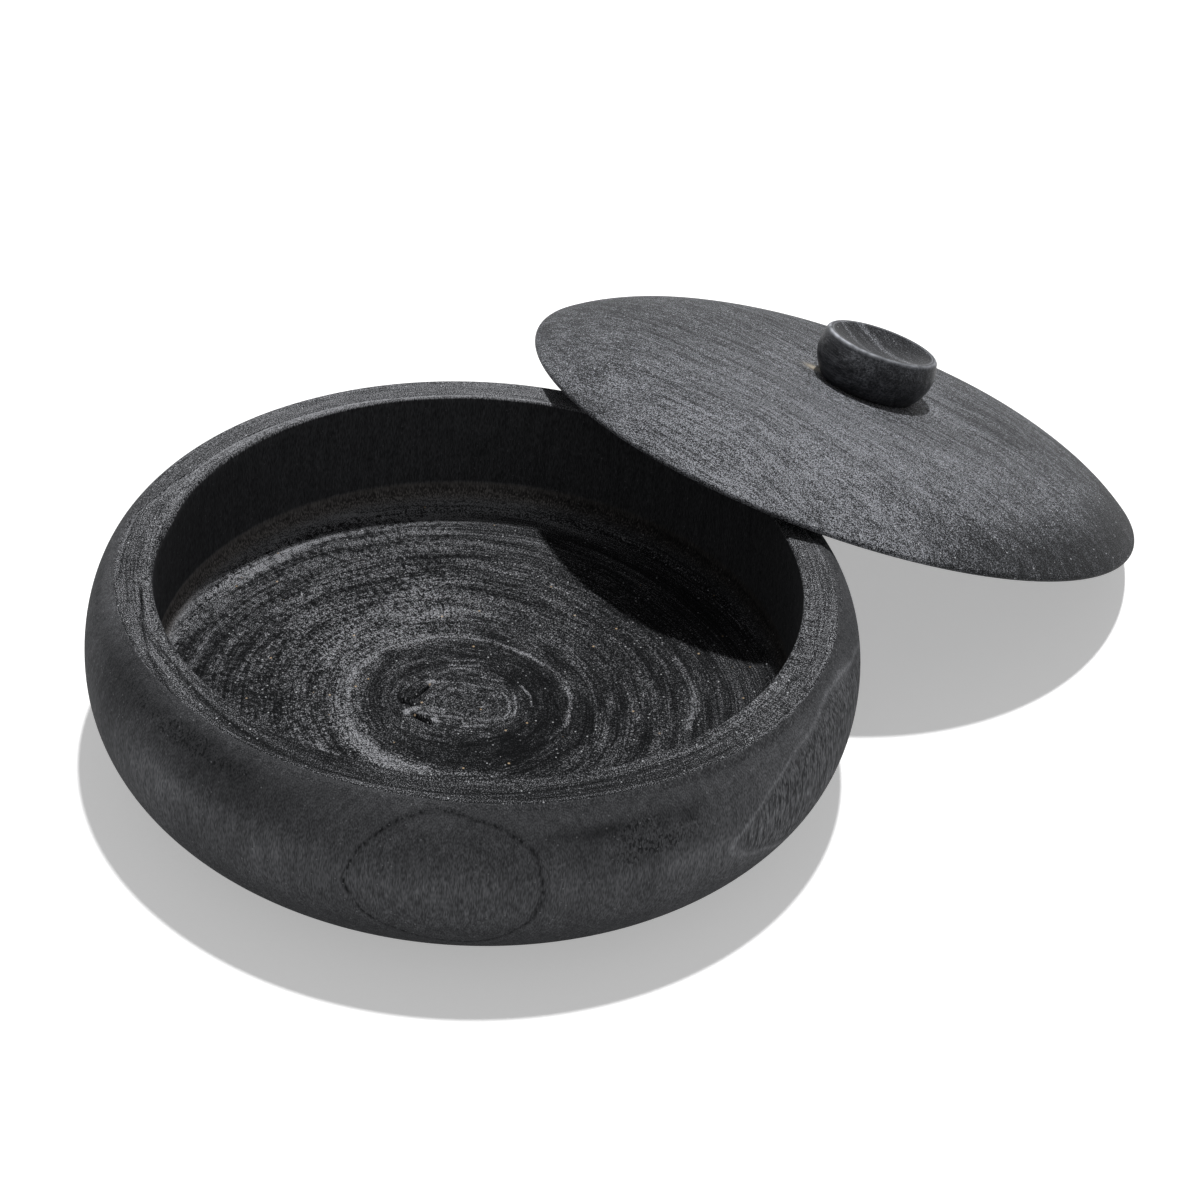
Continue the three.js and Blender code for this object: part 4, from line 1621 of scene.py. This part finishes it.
@dataclass(frozen=True)
class Studio:
    """A plain white floor that glows a little, one lamp high above and dim surroundings.

    The floor's sizes are in millimetres, and the lamp's elevation, bearing and width in degrees.
    """

    floor_radius: float = 4000.0
    floor_sink: float = 0.1
    floor_sides: int = 64
    floor_white: str = "f6f6f6"
    lamp_elevation: float = 76.0
    lamp_bearing: float = 80.0
    lamp_width: float = 2.5
    lamp_strength: float = 2.7
    surroundings: float = 0.14
    glow: float = 0.4

    def build(self) -> None:
        """Makes the floor, the lamp and the surroundings."""
        self.lay_floor()
        self.hang_lamp()
        self.surround()

    def lay_floor(self) -> None:
        """A matt white disc, lit a little from within, so that the camera sees it evenly white."""
        azimuth = np.linspace(0, FULL_TURN, self.floor_sides, endpoint=False)
        sink = 0 * azimuth - self.floor_sink / self.floor_radius
        corners = np.stack([np.cos(azimuth), np.sin(azimuth), sink], -1) * self.floor_radius * MM
        mesh = bpy.data.meshes.new("paper_floor")
        mesh.from_pydata(corners.tolist(), [], [list(range(self.floor_sides))])
        floor = bpy.data.objects.new("paper_floor", mesh)
        bpy.context.scene.collection.objects.link(floor)
        material, mix = recipe("lit_white_acrylic")
        shine = mix.node("Emission", {"Color": WHITE, "Strength": self.seen_only(mix, self.glow)})
        matt = mix.node("BsdfDiffuse", {"Color": linear(self.floor_white)})
        shader = mix.node("AddShader", {0: shine.outputs[0], 1: matt.outputs[0]})
        mix.node("OutputMaterial", {"Surface": shader.outputs[0]})
        mesh.materials.append(material)

    def hang_lamp(self) -> None:
        """A sun lamp, which shines along its own -Z, turned to its bearing and elevation."""
        lamp = bpy.data.lights.new("overhead_lamp", "SUN")
        lamp.energy = self.lamp_strength
        lamp.angle = np.radians(self.lamp_width)
        holder = bpy.data.objects.new("overhead_lamp", lamp)
        bpy.context.scene.collection.objects.link(holder)
        turn = Matrix.Rotation(np.radians(self.lamp_bearing + 90), 4, "Z")
        holder.matrix_world = turn @ Matrix.Rotation(np.radians(90 - self.lamp_elevation), 4, "X")

    @staticmethod
    def seen_only(mix: Recipe, strength: float) -> Socket:
        """A strength for the camera's rays, gloss and glass, and none for light that spreads.

        Args:
            mix: the material's or the world's recipe.
            strength: the strength where it is seen.

        Returns:
            The strength by kind of ray.
        """
        path = mix.node("LightPath").outputs
        seen = mix.node("Math", {0: path["Is Camera Ray"], 1: path["Is Glossy Ray"]}, operation="MAXIMUM")
        seen = mix.node("Math", {0: seen.outputs[0], 1: path["Is Transmission Ray"]}, operation="MAXIMUM")
        return mix.node("Math", {0: seen.outputs[0], 1: strength}, operation="MULTIPLY").outputs[0]

    def surround(self) -> None:
        """White surroundings to the camera and in gloss, and dim ones as light."""
        world = bpy.data.worlds.new("white_studio")
        bpy.context.scene.world = world
        world.use_nodes = True
        world.node_tree.nodes.clear()
        mix = Recipe(world.node_tree)
        light = mix.node("Background", {"Color": WHITE, "Strength": self.surroundings})
        white = mix.node("Background", {"Color": WHITE, "Strength": 1.0})
        mixed = mix.node("MixShader", {0: self.seen_only(mix, 1.0), 1: light.outputs[0], 2: white.outputs[0]})
        mix.node("OutputWorld", {"Surface": mixed.outputs[0]})


@dataclass(frozen=True)
class Camera:
    """The camera at the photograph's angle.

    Its place, lens and film are in millimetres, its look down and its roll in degrees, and it draws what
    lies between two distances in metres.
    """

    place: tuple[float, float, float] = (43.9, -870.6, 697.5)
    look_down: float = 35.96
    roll: float = 4.77
    lens: float = 90.0
    film: float = 36.0
    drawn_from: float = 0.05
    drawn_to: float = 50.0

    def build(self) -> None:
        """Makes the camera, looking along +Y and down, and makes it the scene's own."""
        down, roll = np.radians(self.look_down), np.radians(self.roll)
        forward = np.array([0, np.cos(down), -np.sin(down)])
        level_right = np.array([1.0, 0, 0])
        level_up = np.array([0, np.sin(down), np.cos(down)])
        right = np.cos(roll) * level_right + np.sin(roll) * level_up
        up = np.cos(roll) * level_up - np.sin(roll) * level_right
        matrix = np.eye(4)
        matrix[:3, 0], matrix[:3, 1], matrix[:3, 2] = right, up, -forward
        matrix[:3, 3] = np.array(self.place) * MM
        data = bpy.data.cameras.new("photograph_view")
        data.lens, data.sensor_width = self.lens, self.film
        data.clip_start, data.clip_end = self.drawn_from, self.drawn_to
        holder = bpy.data.objects.new("photograph_view", data)
        bpy.context.scene.collection.objects.link(holder)
        holder.matrix_world = Matrix(matrix.tolist())
        bpy.context.scene.camera = holder


def main() -> None:
    """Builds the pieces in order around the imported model."""
    logging.basicConfig(level=logging.INFO, format="%(message)s")
    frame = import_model()
    bpy.context.scene.view_settings.view_transform = "Standard"
    Camera().build()
    Studio().build()
    Bowl.from_frame().build(EndGrainFinish())
    lean = Lean.from_dowel(dowel_foot=14.45, off_down=Knob.off_down, off_side=Knob.off_side)
    Lid(lean).build(PlankFinish("ebonised_plank_wood"))
    # The knob's finish: its bare colour is both rubbed wood and the rim's painted highlight.
    rubbed = PlankFinish(
        "ebonised_wood_rubbed_highlit",
        ebony="101114",
        bare="c4c7ce",
        roughness=0.42,
        specular=0.05,
        sheen=0.0,
        relief_mm=0.03,
        sparkles=0.7,
    )
    Knob(lean).build(rubbed)
    BareDowelFinish().dress(frame["nodes"]["knob_dowel"])


if __name__ == "__main__":
    main()
